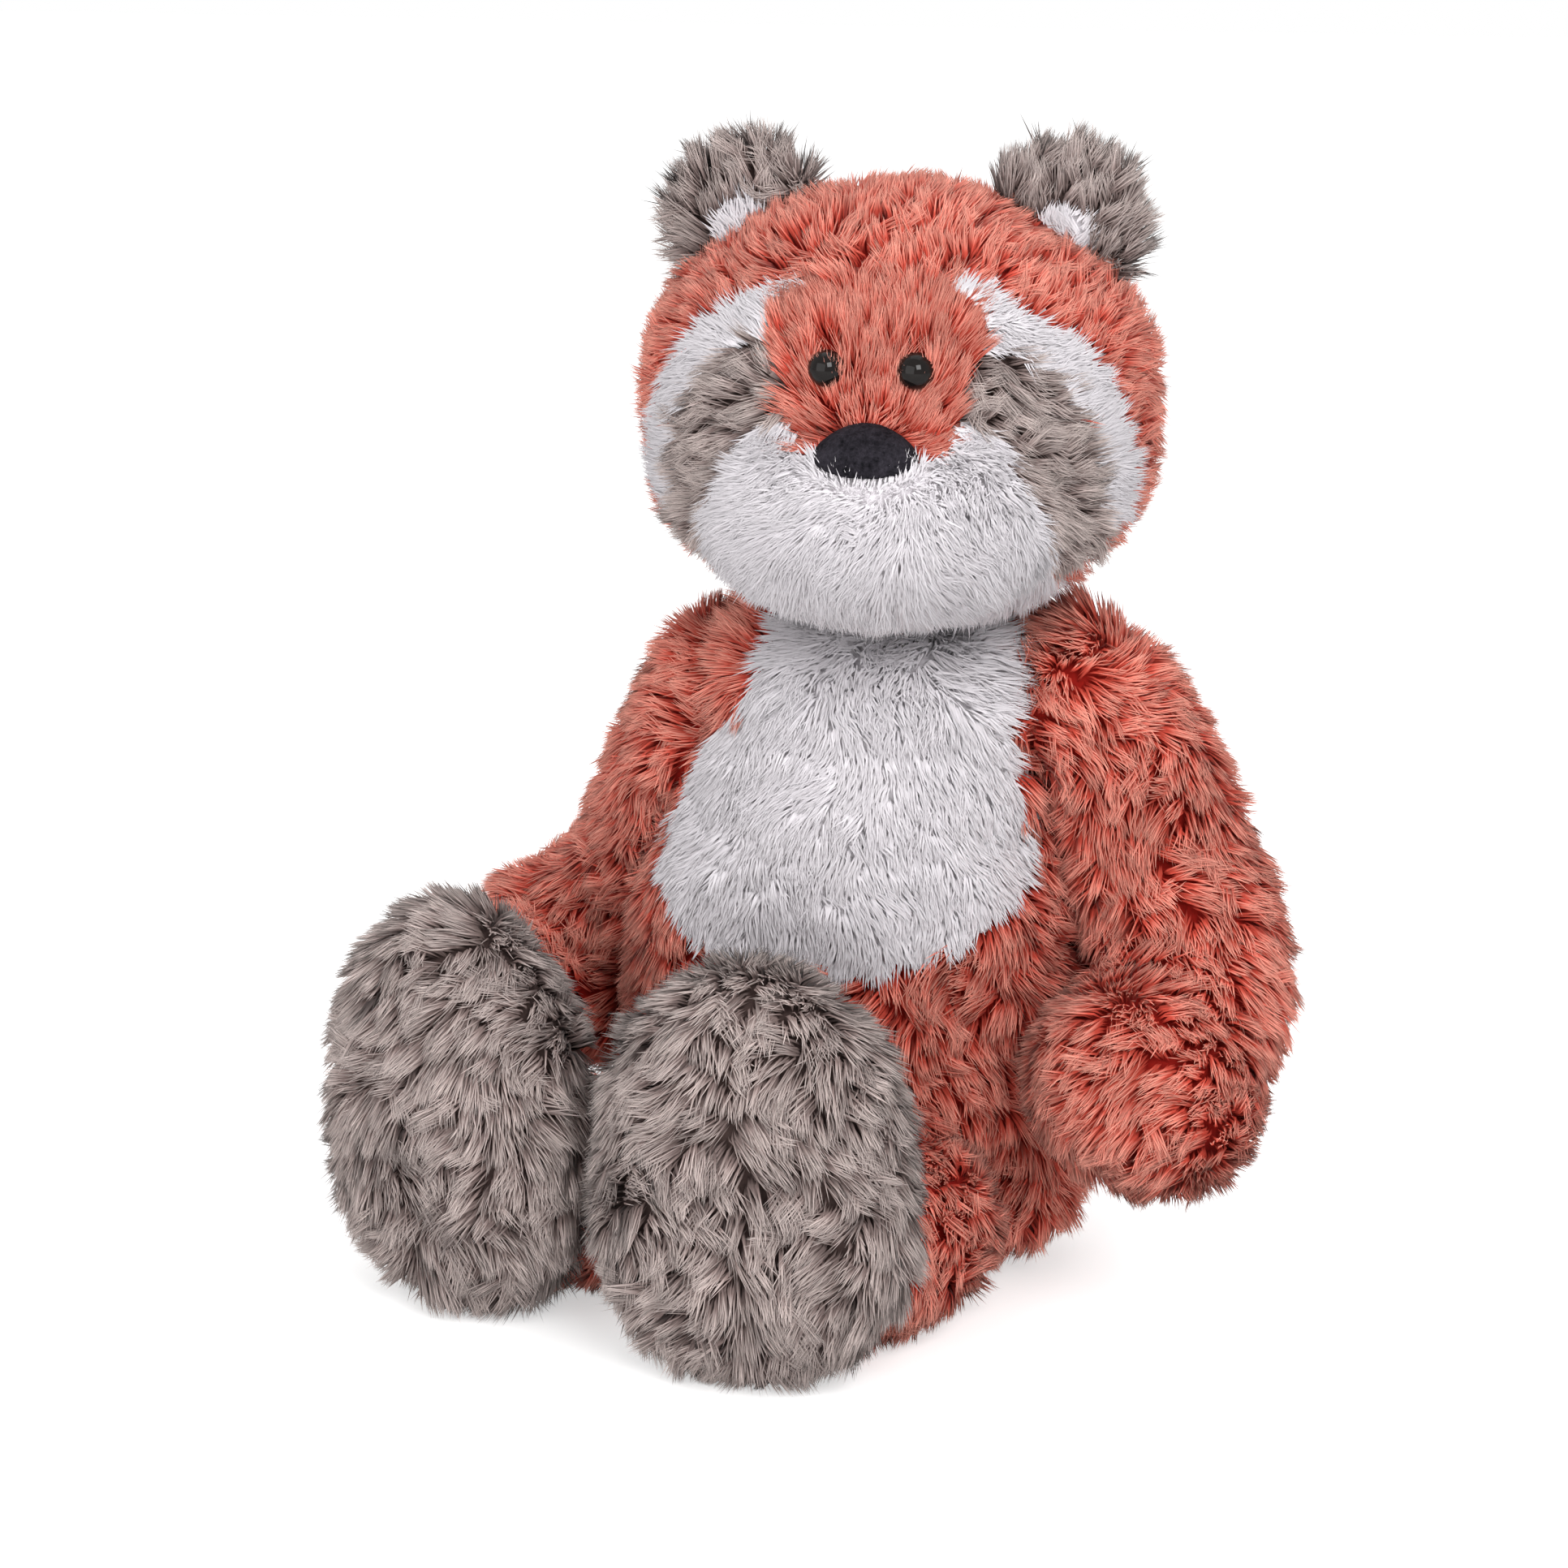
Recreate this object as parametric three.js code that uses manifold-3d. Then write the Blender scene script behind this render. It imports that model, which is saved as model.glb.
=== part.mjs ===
// A seated plush raccoon of long-pile fur, in millimetres.
// It faces -Y, its own left is +X and it sits on Z = 0.
// The origin is the middle of the flat of its seat. Every outer surface is where the fur's tips end.
import * as THREE from "three";
import { mergeVertices } from "three/addons/utils/BufferGeometryUtils.js";
import Module from "manifold-3d";

const wasm = await Module();
wasm.setup();

// Cloth, seams and floor
const SEAM_GAP = 0.3; // between two pieces that touch
const FUR_WALL = 8; // backing cloth and pile, from the tips of the fur to the stuffing
const FLOOR_FLAT = 0.5; // how deep a form that rests on the floor is pressed flat
const BEYOND = 1000; // the size of a cutting block, past everything in the toy

// Body
const TORSO_HEIGHT = 186;
const BELLY_HALF_WIDTH = 64;
const BELLY_HALF_DEPTH = 46;
const SEAT_HALF_WIDTH = 61;
const SEAT_HALF_DEPTH = 42;
const SHOULDER_HALF_WIDTH = 44;
const SHOULDER_HALF_DEPTH = 33;
const NECK_FORWARD = 23; // the slumped back brings the neck this far in front of the seat
const NECK_ASIDE = 10; // and this far to the toy's left
const BEAN_LEVEL = 34; // beans fill the seat up to here
const NECK_BALL_RADIUS = 16;
const NECK_ROOM = 5; // round the shoulders, for the head to nod in

// Head
const HEAD_HEIGHT = 110;
const HEAD_HALF_WIDTH = 66;
const HEAD_HALF_DEPTH = 58;
const HEAD_SINK = 4; // the head is pressed this far over the top of the body
const MUZZLE_HALF_WIDTH = 46;
const MUZZLE_HALF_HEIGHT = 29;
const MUZZLE_REACH = 12.5; // in front of the forehead
const MUZZLE_BELOW = 20.5; // its middle below the middle of the head
const NOSE_HALF_WIDTH = 13;
const NOSE_HALF_HEIGHT = 7.5;
const NOSE_HALF_DEPTH = 5;
const NOSE_BACK = 10.7; // its middle behind the front of the muzzle
const NOSE_BELOW = 2; // and below the middle of the head
const EYE_RADIUS = 4.5;
const EYE_SPACING = 22;
const EYE_LEVEL = 17; // above the middle of the head
const EYE_SINK = 2.5; // how far the fur stands past the middle of the eye
const POST_RADIUS = 1.6;
const POST_END = 2; // of an eye's post, past its washer
const WASHER_RADIUS = 6;
const WASHER_THICKNESS = 1.2;
const EAR_RADIUS = 20.5;
const EAR_HALF_THICKNESS = 9.5;
const EAR_SPACING = 78;
const EAR_BELOW_TOP = 13;
const EAR_BACK = 5; // behind the middle of the head
const EAR_LINING_RADIUS = 10;
const EAR_LINING_DEPTH = 6;

// Arms
const ARM_ROOT_RADIUS = 22;
const ARM_START = 8; // inside its pivot, where the form of an arm begins
const ARM_REACH = 110; // the unit of the steps along an arm
const ELBOW_RADIUS = 28;
const PAW_RADIUS = 34;
const ARM_PORT_RADIUS = 9; // the opening through which an arm is stuffed
const ARM_ROOT_BELOW_TOP = 23;

// Legs and feet
const HIP_RADIUS = 23;
const LEG_RADIUS = 28;
const LEG_REACH = 76; // from the pivot of the left hip to the middle of its foot
const FOOT_HEIGHT = 111;
const FOOT_HALF_WIDTH = 43;
const FOOT_HALF_DEPTH = 27;
const PELLET_LEVEL = 36; // pellets weight each foot up to here

// Tail
const TAIL_RADIUS = 23;
const TAIL_ROOT_RADIUS = 17;
const TAIL_REACH = 88; // how far it curls towards the toy's right
const TAIL_BANDS = 4;

// Furs, felt and hard plastic
const RUST = { color: 0xc46a5c, roughness: 0.95 };
const GREY = { color: 0x8f7d79, roughness: 0.95 };
const WHITE = { color: 0xdcd6d9, roughness: 0.95 };
const FELT = { color: 0x232a3c, roughness: 0.9 };
const GLOSS = { color: 0x0c0a0a, roughness: 0.1 };
const PLASTIC = { color: 0xe8e6e0, roughness: 0.5 };
const FIBRE = { color: 0xf4f1ea, roughness: 1 };
const BEANS = { color: 0xd9d2c0, roughness: 0.7 };

const SIDES = { left: 1, right: -1 };
const UP = new THREE.Vector3(0, 0, 1);
const ACROSS = new THREE.Vector3(1, 0, 0);
const at = (x, y, z) => new THREE.Vector3(x, y, z);

// A closed geometry as a solid that can be joined and cut.
function solidOf(geometry) {
  const bare = geometry.clone();
  bare.deleteAttribute("normal");
  bare.deleteAttribute("uv");
  const { attributes, index } = mergeVertices(bare, 1e-4);
  const corners = [];
  for (let i = 0; i < index.count; i += 3) {
    const [a, b, c] = [index.getX(i), index.getX(i + 1), index.getX(i + 2)];
    if (a !== b && b !== c && c !== a) corners.push(a, b, c);
  }
  return fromCorners(new Float32Array(attributes.position.array), corners);
}

function fromCorners(vertProperties, corners) {
  const triVerts = new Uint32Array(corners);
  return new wasm.Manifold(new wasm.Mesh({ numProp: 3, vertProperties, triVerts }));
}

const cut = (solid, ...tools) => tools.reduce((left, tool) => left.subtract(tool), solid);

// A smooth value between rows of [share, value, value...], flat at both ends and without overshoot.
function between(rows, share, column) {
  const last = rows.length - 1;
  if (share <= rows[0][0]) return rows[0][column];
  if (share >= rows[last][0]) return rows[last][column];
  const k = rows.findIndex((row) => row[0] > share) - 1;
  const rise = (i) => (rows[i + 1][column] - rows[i][column]) / (rows[i + 1][0] - rows[i][0]);
  const slope = (i) => {
    if (i <= 0 || i >= last) return 0;
    const [before, after] = [rise(i - 1), rise(i)];
    return before * after <= 0 ? 0 : (2 * before * after) / (before + after);
  };
  const span = rows[k + 1][0] - rows[k][0];
  const t = (share - rows[k][0]) / span;
  const [start, end] = [rows[k][column], rows[k + 1][column]];
  return (
    start * (1 + 2 * t) * (1 - t) ** 2 +
    slope(k) * span * t * (1 - t) ** 2 +
    end * t * t * (3 - 2 * t) -
    slope(k + 1) * span * t * t * (1 - t)
  );
}

// A stuffed form: elliptical rings on a curved centre line, closed by a rounded cap at each end.
// A girth row is [share of the length, half-width, half-depth], and the half-width lies along `across`.
// A cap follows a superellipse, which is a true round at bluntness 2 and fuller above it.
class StuffedForm {
  constructor({ spine, girth, caps, across = ACROSS, blunt = 2, columns = 20, rows = 12 }) {
    Object.assign(this, { girth, caps, across, blunt, columns, rows });
    this.curve = new THREE.CatmullRomCurve3(spine, false, "centripetal");
    this.length = this.curve.getLength();
  }

  // Distance along the centre line and size of the ring at v, which runs from pole to pole over 0 to 1.
  ring(v) {
    const [first, second] = this.caps;
    const capShare = 1.4; // rings lie closer together on a cap
    const middle = Math.max(this.length - first - second, 0);
    const whole = capShare * (first + second) + middle;
    const [firstEnd, secondStart] = [(capShare * first) / whole, 1 - (capShare * second) / whole];
    const power = 2 / this.blunt;
    if (v <= firstEnd) {
      const turn = (v / firstEnd) * (Math.PI / 2);
      return [first * (1 - Math.cos(turn) ** power), Math.sin(turn) ** power];
    }
    if (v > secondStart) {
      const turn = ((1 - v) / (1 - secondStart)) * (Math.PI / 2);
      return [this.length - second * (1 - Math.cos(turn) ** power), Math.sin(turn) ** power];
    }
    return [first + ((v - firstEnd) / (secondStart - firstEnd)) * middle, 1];
  }

  // The point at angle u and place v, both 0 to 1.
  point(u, v) {
    const [along, scale] = this.ring(v);
    const share = THREE.MathUtils.clamp(along / this.length, 0, 1);
    const tangent = this.curve.getTangentAt(share);
    const side = this.across.clone().addScaledVector(tangent, -this.across.dot(tangent)).normalize();
    const other = tangent.clone().cross(side);
    const angle = 2 * Math.PI * u;
    return this.curve
      .getPointAt(share)
      .addScaledVector(side, scale * between(this.girth, share, 1) * Math.cos(angle))
      .addScaledVector(other, scale * between(this.girth, share, 2) * Math.sin(angle));
  }

  // The outward normal, from the two directions of the surface.
  normal(u, v) {
    const step = 1e-3;
    const around = this.point(u + step, v).sub(this.point(u - step, v));
    const along = this.point(u, v + step).sub(this.point(u, v - step));
    return around.cross(along).normalize();
  }

  // The closed solid, with its whole surface moved inwards by `inset`.
  solid({ inset = 0, columns = this.columns, rows = this.rows } = {}) {
    const start = this.curve.getTangentAt(0);
    const end = this.curve.getTangentAt(1);
    const points = [this.curve.getPointAt(0).addScaledVector(start, inset)];
    for (let row = 1; row < rows; row++)
      for (let column = 0; column < columns; column++) {
        const [u, v] = [column / columns, row / rows];
        points.push(this.point(u, v).addScaledVector(this.normal(u, v), -inset));
      }
    points.push(this.curve.getPointAt(1).addScaledVector(end, -inset));
    const corners = [];
    const index = (row, column) => 1 + (row - 1) * columns + (column % columns);
    for (let column = 0; column < columns; column++) {
      corners.push(0, index(1, column + 1), index(1, column));
      for (let row = 1; row < rows - 1; row++) {
        const [a, b] = [index(row, column), index(row, column + 1)];
        const [c, d] = [index(row + 1, column + 1), index(row + 1, column)];
        corners.push(a, b, c, a, c, d);
      }
      corners.push(index(rows - 1, column), index(rows - 1, column + 1), points.length - 1);
    }
    return fromCorners(new Float32Array(points.flatMap((point) => point.toArray())), corners);
  }

  // The hollow inside the fur, made coarser, and the stuffing that fills it but for a seam gap.
  hollow(extra = 0) {
    const coarse = (count) => Math.ceil(0.6 * count);
    const size = { columns: coarse(this.columns), rows: coarse(this.rows) };
    return this.solid({ inset: FUR_WALL + extra, ...size });
  }
}

const BALL_SIDES = 12;
const roundBall = (centre, radius, rows, turn) =>
  solidOf(
    new THREE.SphereGeometry(radius, BALL_SIDES, rows)
      .rotateX(Math.PI / 2)
      .rotateZ(turn)
      .translate(centre.x, centre.y, centre.z),
  );

// A ball, and the room that it turns in. The ball's corners face the middles of the socket's flats at rest,
// and every flat lies outside the whole round ball by at least a seam gap, so that it clears at any angle.
const ball = (centre, radius) =>
  roundBall(centre, radius, BALL_SIDES / 2 + 1, Math.PI / BALL_SIDES);
const socket = (centre, radius) =>
  roundBall(centre, (radius + SEAM_GAP) / Math.cos(Math.PI / BALL_SIDES) ** 2, BALL_SIDES / 2, 0);

// A lathe profile of [radius, height] rows turned round Z, then pointed along `axis`, zero at `place`.
function turned(profile, place, axis = UP, segments = 12) {
  const outline = profile.map(([radius, height]) => new THREE.Vector2(radius, height));
  const geometry = new THREE.LatheGeometry(outline, segments).rotateX(Math.PI / 2);
  geometry.applyQuaternion(new THREE.Quaternion().setFromUnitVectors(UP, axis));
  return solidOf(geometry.translate(place.x, place.y, place.z));
}

// A seam outline of [x, z] corners on a smooth closed curve, spread by `grow` and pushed through the front.
function seamPrism(outline, back, { grow = 0, steps = 20, depth = BEYOND } = {}) {
  const curve = new THREE.CatmullRomCurve3(
    outline.map(([x, z]) => at(x, z, 0)),
    true,
    "centripetal",
  );
  const edge = curve.getPoints(steps).slice(0, -1);
  const sense = THREE.ShapeUtils.isClockWise(edge) ? -grow : grow;
  const spread = edge.map((point, i) => {
    const before = edge[(i + edge.length - 1) % edge.length];
    const after = edge[(i + 1) % edge.length];
    const along = after.clone().sub(before).normalize();
    return new THREE.Vector2(point.x + along.y * sense, point.y - along.x * sense);
  });
  const geometry = new THREE.ExtrudeGeometry(new THREE.Shape(spread), { depth, bevelEnabled: false });
  return solidOf(geometry.rotateX(Math.PI / 2).translate(0, back, 0));
}

// A block that reaches past the toy on all sides between two heights.
const slab = (low, high) =>
  solidOf(new THREE.BoxGeometry(BEYOND, BEYOND, high - low).translate(0, 0, (low + high) / 2));
const floor = slab(-BEYOND, 0);

function turnedBy(solid, pivot, axis, angle) {
  const turn = new THREE.Matrix4()
    .makeTranslation(pivot.x, pivot.y, pivot.z)
    .multiply(new THREE.Matrix4().makeRotationAxis(axis, THREE.MathUtils.degToRad(angle)))
    .multiply(new THREE.Matrix4().makeTranslation(-pivot.x, -pivot.y, -pivot.z));
  return solid.transform(turn.elements);
}

const toy = new THREE.Group();
const joints = [];

function addPiece(name, solid, finish) {
  const { vertProperties, triVerts } = solid.getMesh();
  const geometry = new THREE.BufferGeometry()
    .setAttribute("position", new THREE.BufferAttribute(vertProperties, 3))
    .setIndex(new THREE.BufferAttribute(triVerts, 1));
  geometry.computeVertexNormals();
  const mesh = new THREE.Mesh(geometry, new THREE.MeshStandardMaterial({ metalness: 0, ...finish }));
  mesh.name = name;
  toy.add(mesh);
}

// Body: a pear that slumps forwards, with a white front let into it.
const headBase = TORSO_HEIGHT - HEAD_SINK;
const neck = at(NECK_ASIDE, -NECK_FORWARD, headBase);
const torso = new StuffedForm({
  spine: [
    at(0, 0, -FLOOR_FLAT),
    at(0, -0.1 * NECK_FORWARD, 0.25 * TORSO_HEIGHT),
    at(0.1 * NECK_ASIDE, -0.4 * NECK_FORWARD, 0.5 * TORSO_HEIGHT),
    at(0.6 * NECK_ASIDE, -0.8 * NECK_FORWARD, 0.78 * TORSO_HEIGHT),
    at(NECK_ASIDE, -NECK_FORWARD, TORSO_HEIGHT),
  ],
  girth: [
    [0, SEAT_HALF_WIDTH, SEAT_HALF_DEPTH],
    [0.16, 0.96 * BELLY_HALF_WIDTH, 0.95 * BELLY_HALF_DEPTH],
    [0.4, BELLY_HALF_WIDTH, BELLY_HALF_DEPTH],
    [0.58, 0.95 * BELLY_HALF_WIDTH, 0.97 * BELLY_HALF_DEPTH],
    [0.76, 1.1 * SHOULDER_HALF_WIDTH, 1.2 * SHOULDER_HALF_DEPTH],
    [0.9, SHOULDER_HALF_WIDTH, SHOULDER_HALF_DEPTH],
    [1, 0.9 * SHOULDER_HALF_WIDTH, 0.85 * SHOULDER_HALF_DEPTH],
  ],
  caps: [0.13 * TORSO_HEIGHT, 0.12 * TORSO_HEIGHT],
  blunt: 2.3,
  columns: 22,
  rows: 13,
});

// Limb roots: each is a ball in a socket of the body, so that the limb swings about the ball's middle.
const fromNeck = (aside, back, drop) =>
  at(
    neck.x + aside * SHOULDER_HALF_WIDTH,
    neck.y + back * SHOULDER_HALF_DEPTH,
    TORSO_HEIGHT - drop * ARM_ROOT_BELOW_TOP,
  );
const SHOULDERS = { left: fromNeck(0.91, 0.15, 1), right: fromNeck(-0.93, 0.4, 1.15) };
const fromSeat = (aside, front) => at(aside * SEAT_HALF_WIDTH, -front * SEAT_HALF_DEPTH, LEG_RADIUS);
const HIPS = { left: fromSeat(0.52, 0.67), right: fromSeat(-0.69, 0.48) };
const TAIL_ROOT = at(-0.17 * TAIL_RADIUS, 0.93 * SEAT_HALF_DEPTH, TAIL_RADIUS);

const sockets = [
  socket(neck, NECK_BALL_RADIUS),
  socket(SHOULDERS.left, ARM_ROOT_RADIUS),
  socket(SHOULDERS.right, ARM_ROOT_RADIUS),
  socket(HIPS.left, HIP_RADIUS),
  socket(HIPS.right, HIP_RADIUS),
  socket(TAIL_ROOT, TAIL_ROOT_RADIUS),
];
// The seam of the white front, in shares of the belly's half-width and of the body's height.
const TUMMY_OUTLINE = [
  [-0.22, 1.03],
  [0.16, 1.07],
  [0.62, 1.04],
  [0.67, 0.95],
  [0.67, 0.86],
  [0.73, 0.74],
  [0.75, 0.65],
  [0.56, 0.57],
  [0, 0.51],
  [-0.59, 0.53],
  [-0.78, 0.62],
  [-0.73, 0.69],
  [-0.59, 0.8],
  [-0.37, 0.9],
  [-0.27, 0.97],
].map(([x, z]) => [x * BELLY_HALF_WIDTH, z * TORSO_HEIGHT]);
const torsoSkin = cut(torso.solid().subtract(torso.hollow()), floor, ...sockets);
const tummyFront = -0.35 * BELLY_HALF_DEPTH;
addPiece("torso_skin", cut(torsoSkin, seamPrism(TUMMY_OUTLINE, tummyFront, { grow: SEAM_GAP })), RUST);
addPiece("tummy_panel", torsoSkin.intersect(seamPrism(TUMMY_OUTLINE, tummyFront)), WHITE);
const torsoStuffing = cut(torso.hollow(SEAM_GAP), ...sockets);
addPiece("torso_filling", cut(torsoStuffing, slab(-1, BEAN_LEVEL + SEAM_GAP)), FIBRE);
addPiece("bean_pouch", torsoStuffing.intersect(slab(-1, BEAN_LEVEL)), BEANS);
addPiece("neck_filling", ball(neck, NECK_BALL_RADIUS), FIBRE);
joints.push({ name: "head_turn", pivot: neck, axis: UP, low: -35, high: 35 });
joints.push({ name: "head_nod", pivot: neck, axis: ACROSS, low: -12, high: 8 });

// Head: a round skull with a broad muzzle, sewn from seven panels.
const headMiddle = at(1.15 * NECK_ASIDE, -NECK_FORWARD, headBase + HEAD_HEIGHT / 2);
const skull = new StuffedForm({
  spine: [
    at(headMiddle.x, headMiddle.y + 0.03 * HEAD_HALF_DEPTH, headBase),
    headMiddle,
    at(headMiddle.x, headMiddle.y - 0.02 * HEAD_HALF_DEPTH, headBase + HEAD_HEIGHT),
  ],
  girth: [
    [0, 0.8 * HEAD_HALF_WIDTH, 0.84 * HEAD_HALF_DEPTH],
    [0.25, 0.94 * HEAD_HALF_WIDTH, 0.97 * HEAD_HALF_DEPTH],
    [0.5, HEAD_HALF_WIDTH, HEAD_HALF_DEPTH],
    [0.75, 0.94 * HEAD_HALF_WIDTH, 0.97 * HEAD_HALF_DEPTH],
    [1, 0.8 * HEAD_HALF_WIDTH, 0.86 * HEAD_HALF_DEPTH],
  ],
  caps: [0.31 * HEAD_HEIGHT, 0.42 * HEAD_HEIGHT],
  blunt: 2.2,
  columns: 22,
  rows: 11,
});
const faceFront = headMiddle.y - HEAD_HALF_DEPTH;
const muzzleLevel = headMiddle.z - MUZZLE_BELOW;
const snout = new StuffedForm({
  spine: [
    at(headMiddle.x, headMiddle.y - 0.14 * HEAD_HALF_DEPTH, muzzleLevel),
    at(headMiddle.x, faceFront + 0.35 * HEAD_HALF_DEPTH, muzzleLevel),
    at(headMiddle.x, faceFront - MUZZLE_REACH, muzzleLevel),
  ],
  girth: [
    [0, MUZZLE_HALF_WIDTH, MUZZLE_HALF_HEIGHT],
    [0.6, 0.98 * MUZZLE_HALF_WIDTH, MUZZLE_HALF_HEIGHT],
    [1, 0.8 * MUZZLE_HALF_WIDTH, 0.86 * MUZZLE_HALF_HEIGHT],
  ],
  caps: [0.26 * MUZZLE_HALF_WIDTH, 0.65 * MUZZLE_HALF_WIDTH],
  blunt: 2.2,
  columns: 16,
  rows: 7,
});
// The hollow under the head that the top of the body turns and nods in.
const neckRelief = turned(
  [
    [0, -HEAD_HEIGHT],
    [SHOULDER_HALF_WIDTH + NECK_ROOM, -HEAD_HEIGHT],
    [SHOULDER_HALF_WIDTH + NECK_ROOM, 0.25 * HEAD_SINK],
    [0.83 * SHOULDER_HALF_WIDTH, 1.5 * HEAD_SINK],
    [0, 2 * HEAD_SINK],
  ],
  neck,
);
const headOuter = skull.solid().add(snout.solid());
const headTools = [neckRelief, socket(neck, NECK_BALL_RADIUS)];
const headSkin = cut(headOuter, skull.hollow().add(snout.hollow()), ...headTools);
const headStuffing = cut(skull.hollow(SEAM_GAP).add(snout.hollow(SEAM_GAP)), ...headTools);

// Seams of the face on the toy's left; the right mirrors them.
// They run from the head's middle, in shares of the head's half-width and half-height.
const GUSSET_EDGE = [
  [0, 0.67],
  [0.3, 0.64],
  [0.41, 0.47],
  [0.35, 0.29],
  [0.31, 0.1],
  [0.31, 0.04],
  [0.26, -0.01],
  [0, -0.05],
];
const BROW_EDGE = [
  [0.27, 0.67],
  [0.52, 0.55],
  [0.73, 0.38],
  [0.87, 0.11],
  [0.92, -0.22],
  [0.9, -0.44],
  [0.83, -0.49],
  [0.81, -0.13],
  [0.67, 0.22],
  [0.47, 0.4],
  [0.29, 0.38],
];
const CHEEK_EDGE = [
  [0.27, 0.35],
  [0.47, 0.4],
  [0.67, 0.22],
  [0.81, -0.13],
  [0.87, -0.48],
  [0.74, -0.68],
  [0.55, -0.65],
  [0.55, -0.18],
  [0.27, 0.04],
];
const MUZZLE_EDGE = [
  [0, -0.05],
  [0.26, -0.01],
  [0.33, 0.07],
  [0.44, 0.02],
  [0.56, -0.16],
  [0.65, -0.4],
  [0.64, -0.69],
  [0.55, -1.09],
  [0, -1.45],
];
const faceX = headMiddle.x;
const mirrored = (edge, side) =>
  edge.map(([x, z]) => [faceX + side * x * HEAD_HALF_WIDTH, headMiddle.z + (z * HEAD_HEIGHT) / 2]);
const wholeLoop = (edge) => {
  const inner = edge.filter(([x]) => x > 0);
  const [top, bottom] = [edge[0], edge[edge.length - 1]];
  return mirrored([top, ...inner, bottom, ...inner.map(([x, z]) => [-x, z]).reverse()], 1);
};
const faceBack = headMiddle.y - 0.1 * HEAD_HALF_DEPTH;
const muzzleSeam = (grow) => seamPrism(wholeLoop(MUZZLE_EDGE), faceBack, { grow });
const gussetSeam = (grow) => seamPrism(wholeLoop(GUSSET_EDGE), faceBack, { grow });
const browSeam = (side, grow) => seamPrism(mirrored(BROW_EDGE, side), faceBack, { grow });
const cheekSeam = (side, grow) => seamPrism(mirrored(CHEEK_EDGE, side), faceBack, { grow });

// Eyes: glossy domes on a ribbed post, held by a washer behind the cloth.
const eyeDome = (spare) => [
  [0, -EYE_RADIUS * 0.5 - spare],
  [EYE_RADIUS * 0.85 + spare, -EYE_RADIUS * 0.5 - spare],
  [EYE_RADIUS + spare, 0],
  [EYE_RADIUS * 0.86 + spare, EYE_RADIUS * 0.5],
  [EYE_RADIUS * 0.5 + spare, EYE_RADIUS * 0.86],
  [0, EYE_RADIUS + spare],
];
const postDepth = FUR_WALL - EYE_SINK + 2 * SEAM_GAP + WASHER_THICKNESS + POST_END;
const post = (radius, length) => [
  [0, -length],
  [radius, -length],
  [radius, -EYE_RADIUS * 0.4],
  [0, -EYE_RADIUS * 0.4],
];
const washerLevel = -(FUR_WALL - EYE_SINK + SEAM_GAP);
const washer = (inner, outer, spare) => [
  [inner, washerLevel - WASHER_THICKNESS - spare],
  [outer, washerLevel - WASHER_THICKNESS - spare],
  [outer, washerLevel + spare],
  [inner, washerLevel + spare],
  [inner, washerLevel - WASHER_THICKNESS - spare],
];
const washerPocket = [
  [0, washerLevel - WASHER_THICKNESS - POST_END],
  [WASHER_RADIUS + SEAM_GAP, washerLevel - WASHER_THICKNESS - POST_END],
  [WASHER_RADIUS + SEAM_GAP, washerLevel + SEAM_GAP],
  [0, washerLevel + SEAM_GAP],
];
const eyes = {};
for (const [side, sign] of Object.entries(SIDES)) {
  const [x, z] = [(sign * EYE_SPACING) / 2, EYE_LEVEL];
  const reach = Math.sqrt(1 - (x / HEAD_HALF_WIDTH) ** 2 - (z / HEAD_HEIGHT) ** 2);
  const axis = at(sign * 0.16, -0.97, 0.16).normalize();
  const place = at(faceX + x, headMiddle.y - HEAD_HALF_DEPTH * reach, headMiddle.z + z);
  place.addScaledVector(axis, -EYE_SINK);
  eyes[side] = {
    eye: turned(eyeDome(0), place, axis).add(turned(post(POST_RADIUS, postDepth), place, axis, 12)),
    washer: turned(washer(POST_RADIUS + SEAM_GAP, WASHER_RADIUS, 0), place, axis),
    room: turned(eyeDome(SEAM_GAP), place, axis)
      .add(turned(post(POST_RADIUS + SEAM_GAP, postDepth + SEAM_GAP), place, axis, 12))
      .add(turned(washerPocket, place, axis)),
  };
}
const eyeRoom = [eyes.left.room, eyes.right.room];

addPiece("muzzle", headSkin.intersect(muzzleSeam(0)), WHITE);
addPiece("face_gusset", cut(headSkin.intersect(gussetSeam(0)), muzzleSeam(SEAM_GAP), ...eyeRoom), RUST);
const frontTools = [muzzleSeam(SEAM_GAP), gussetSeam(SEAM_GAP)];
for (const [side, sign] of Object.entries(SIDES)) {
  addPiece(`brow_patch_${side}`, cut(headSkin.intersect(browSeam(sign, 0)), ...frontTools), WHITE);
  const cheek = cut(headSkin.intersect(cheekSeam(sign, 0)), ...frontTools, browSeam(sign, SEAM_GAP));
  addPiece(`cheek_patch_${side}`, cheek, GREY);
  frontTools.push(browSeam(sign, SEAM_GAP), cheekSeam(sign, SEAM_GAP));
}
addPiece("head_crown", cut(headSkin, ...frontTools), RUST);
addPiece("head_filling", cut(headStuffing, ...eyeRoom), FIBRE);
for (const side of Object.keys(SIDES)) {
  addPiece(`eye_${side}`, eyes[side].eye, GLOSS);
  addPiece(`eye_washer_${side}`, eyes[side].washer, PLASTIC);
}

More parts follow.
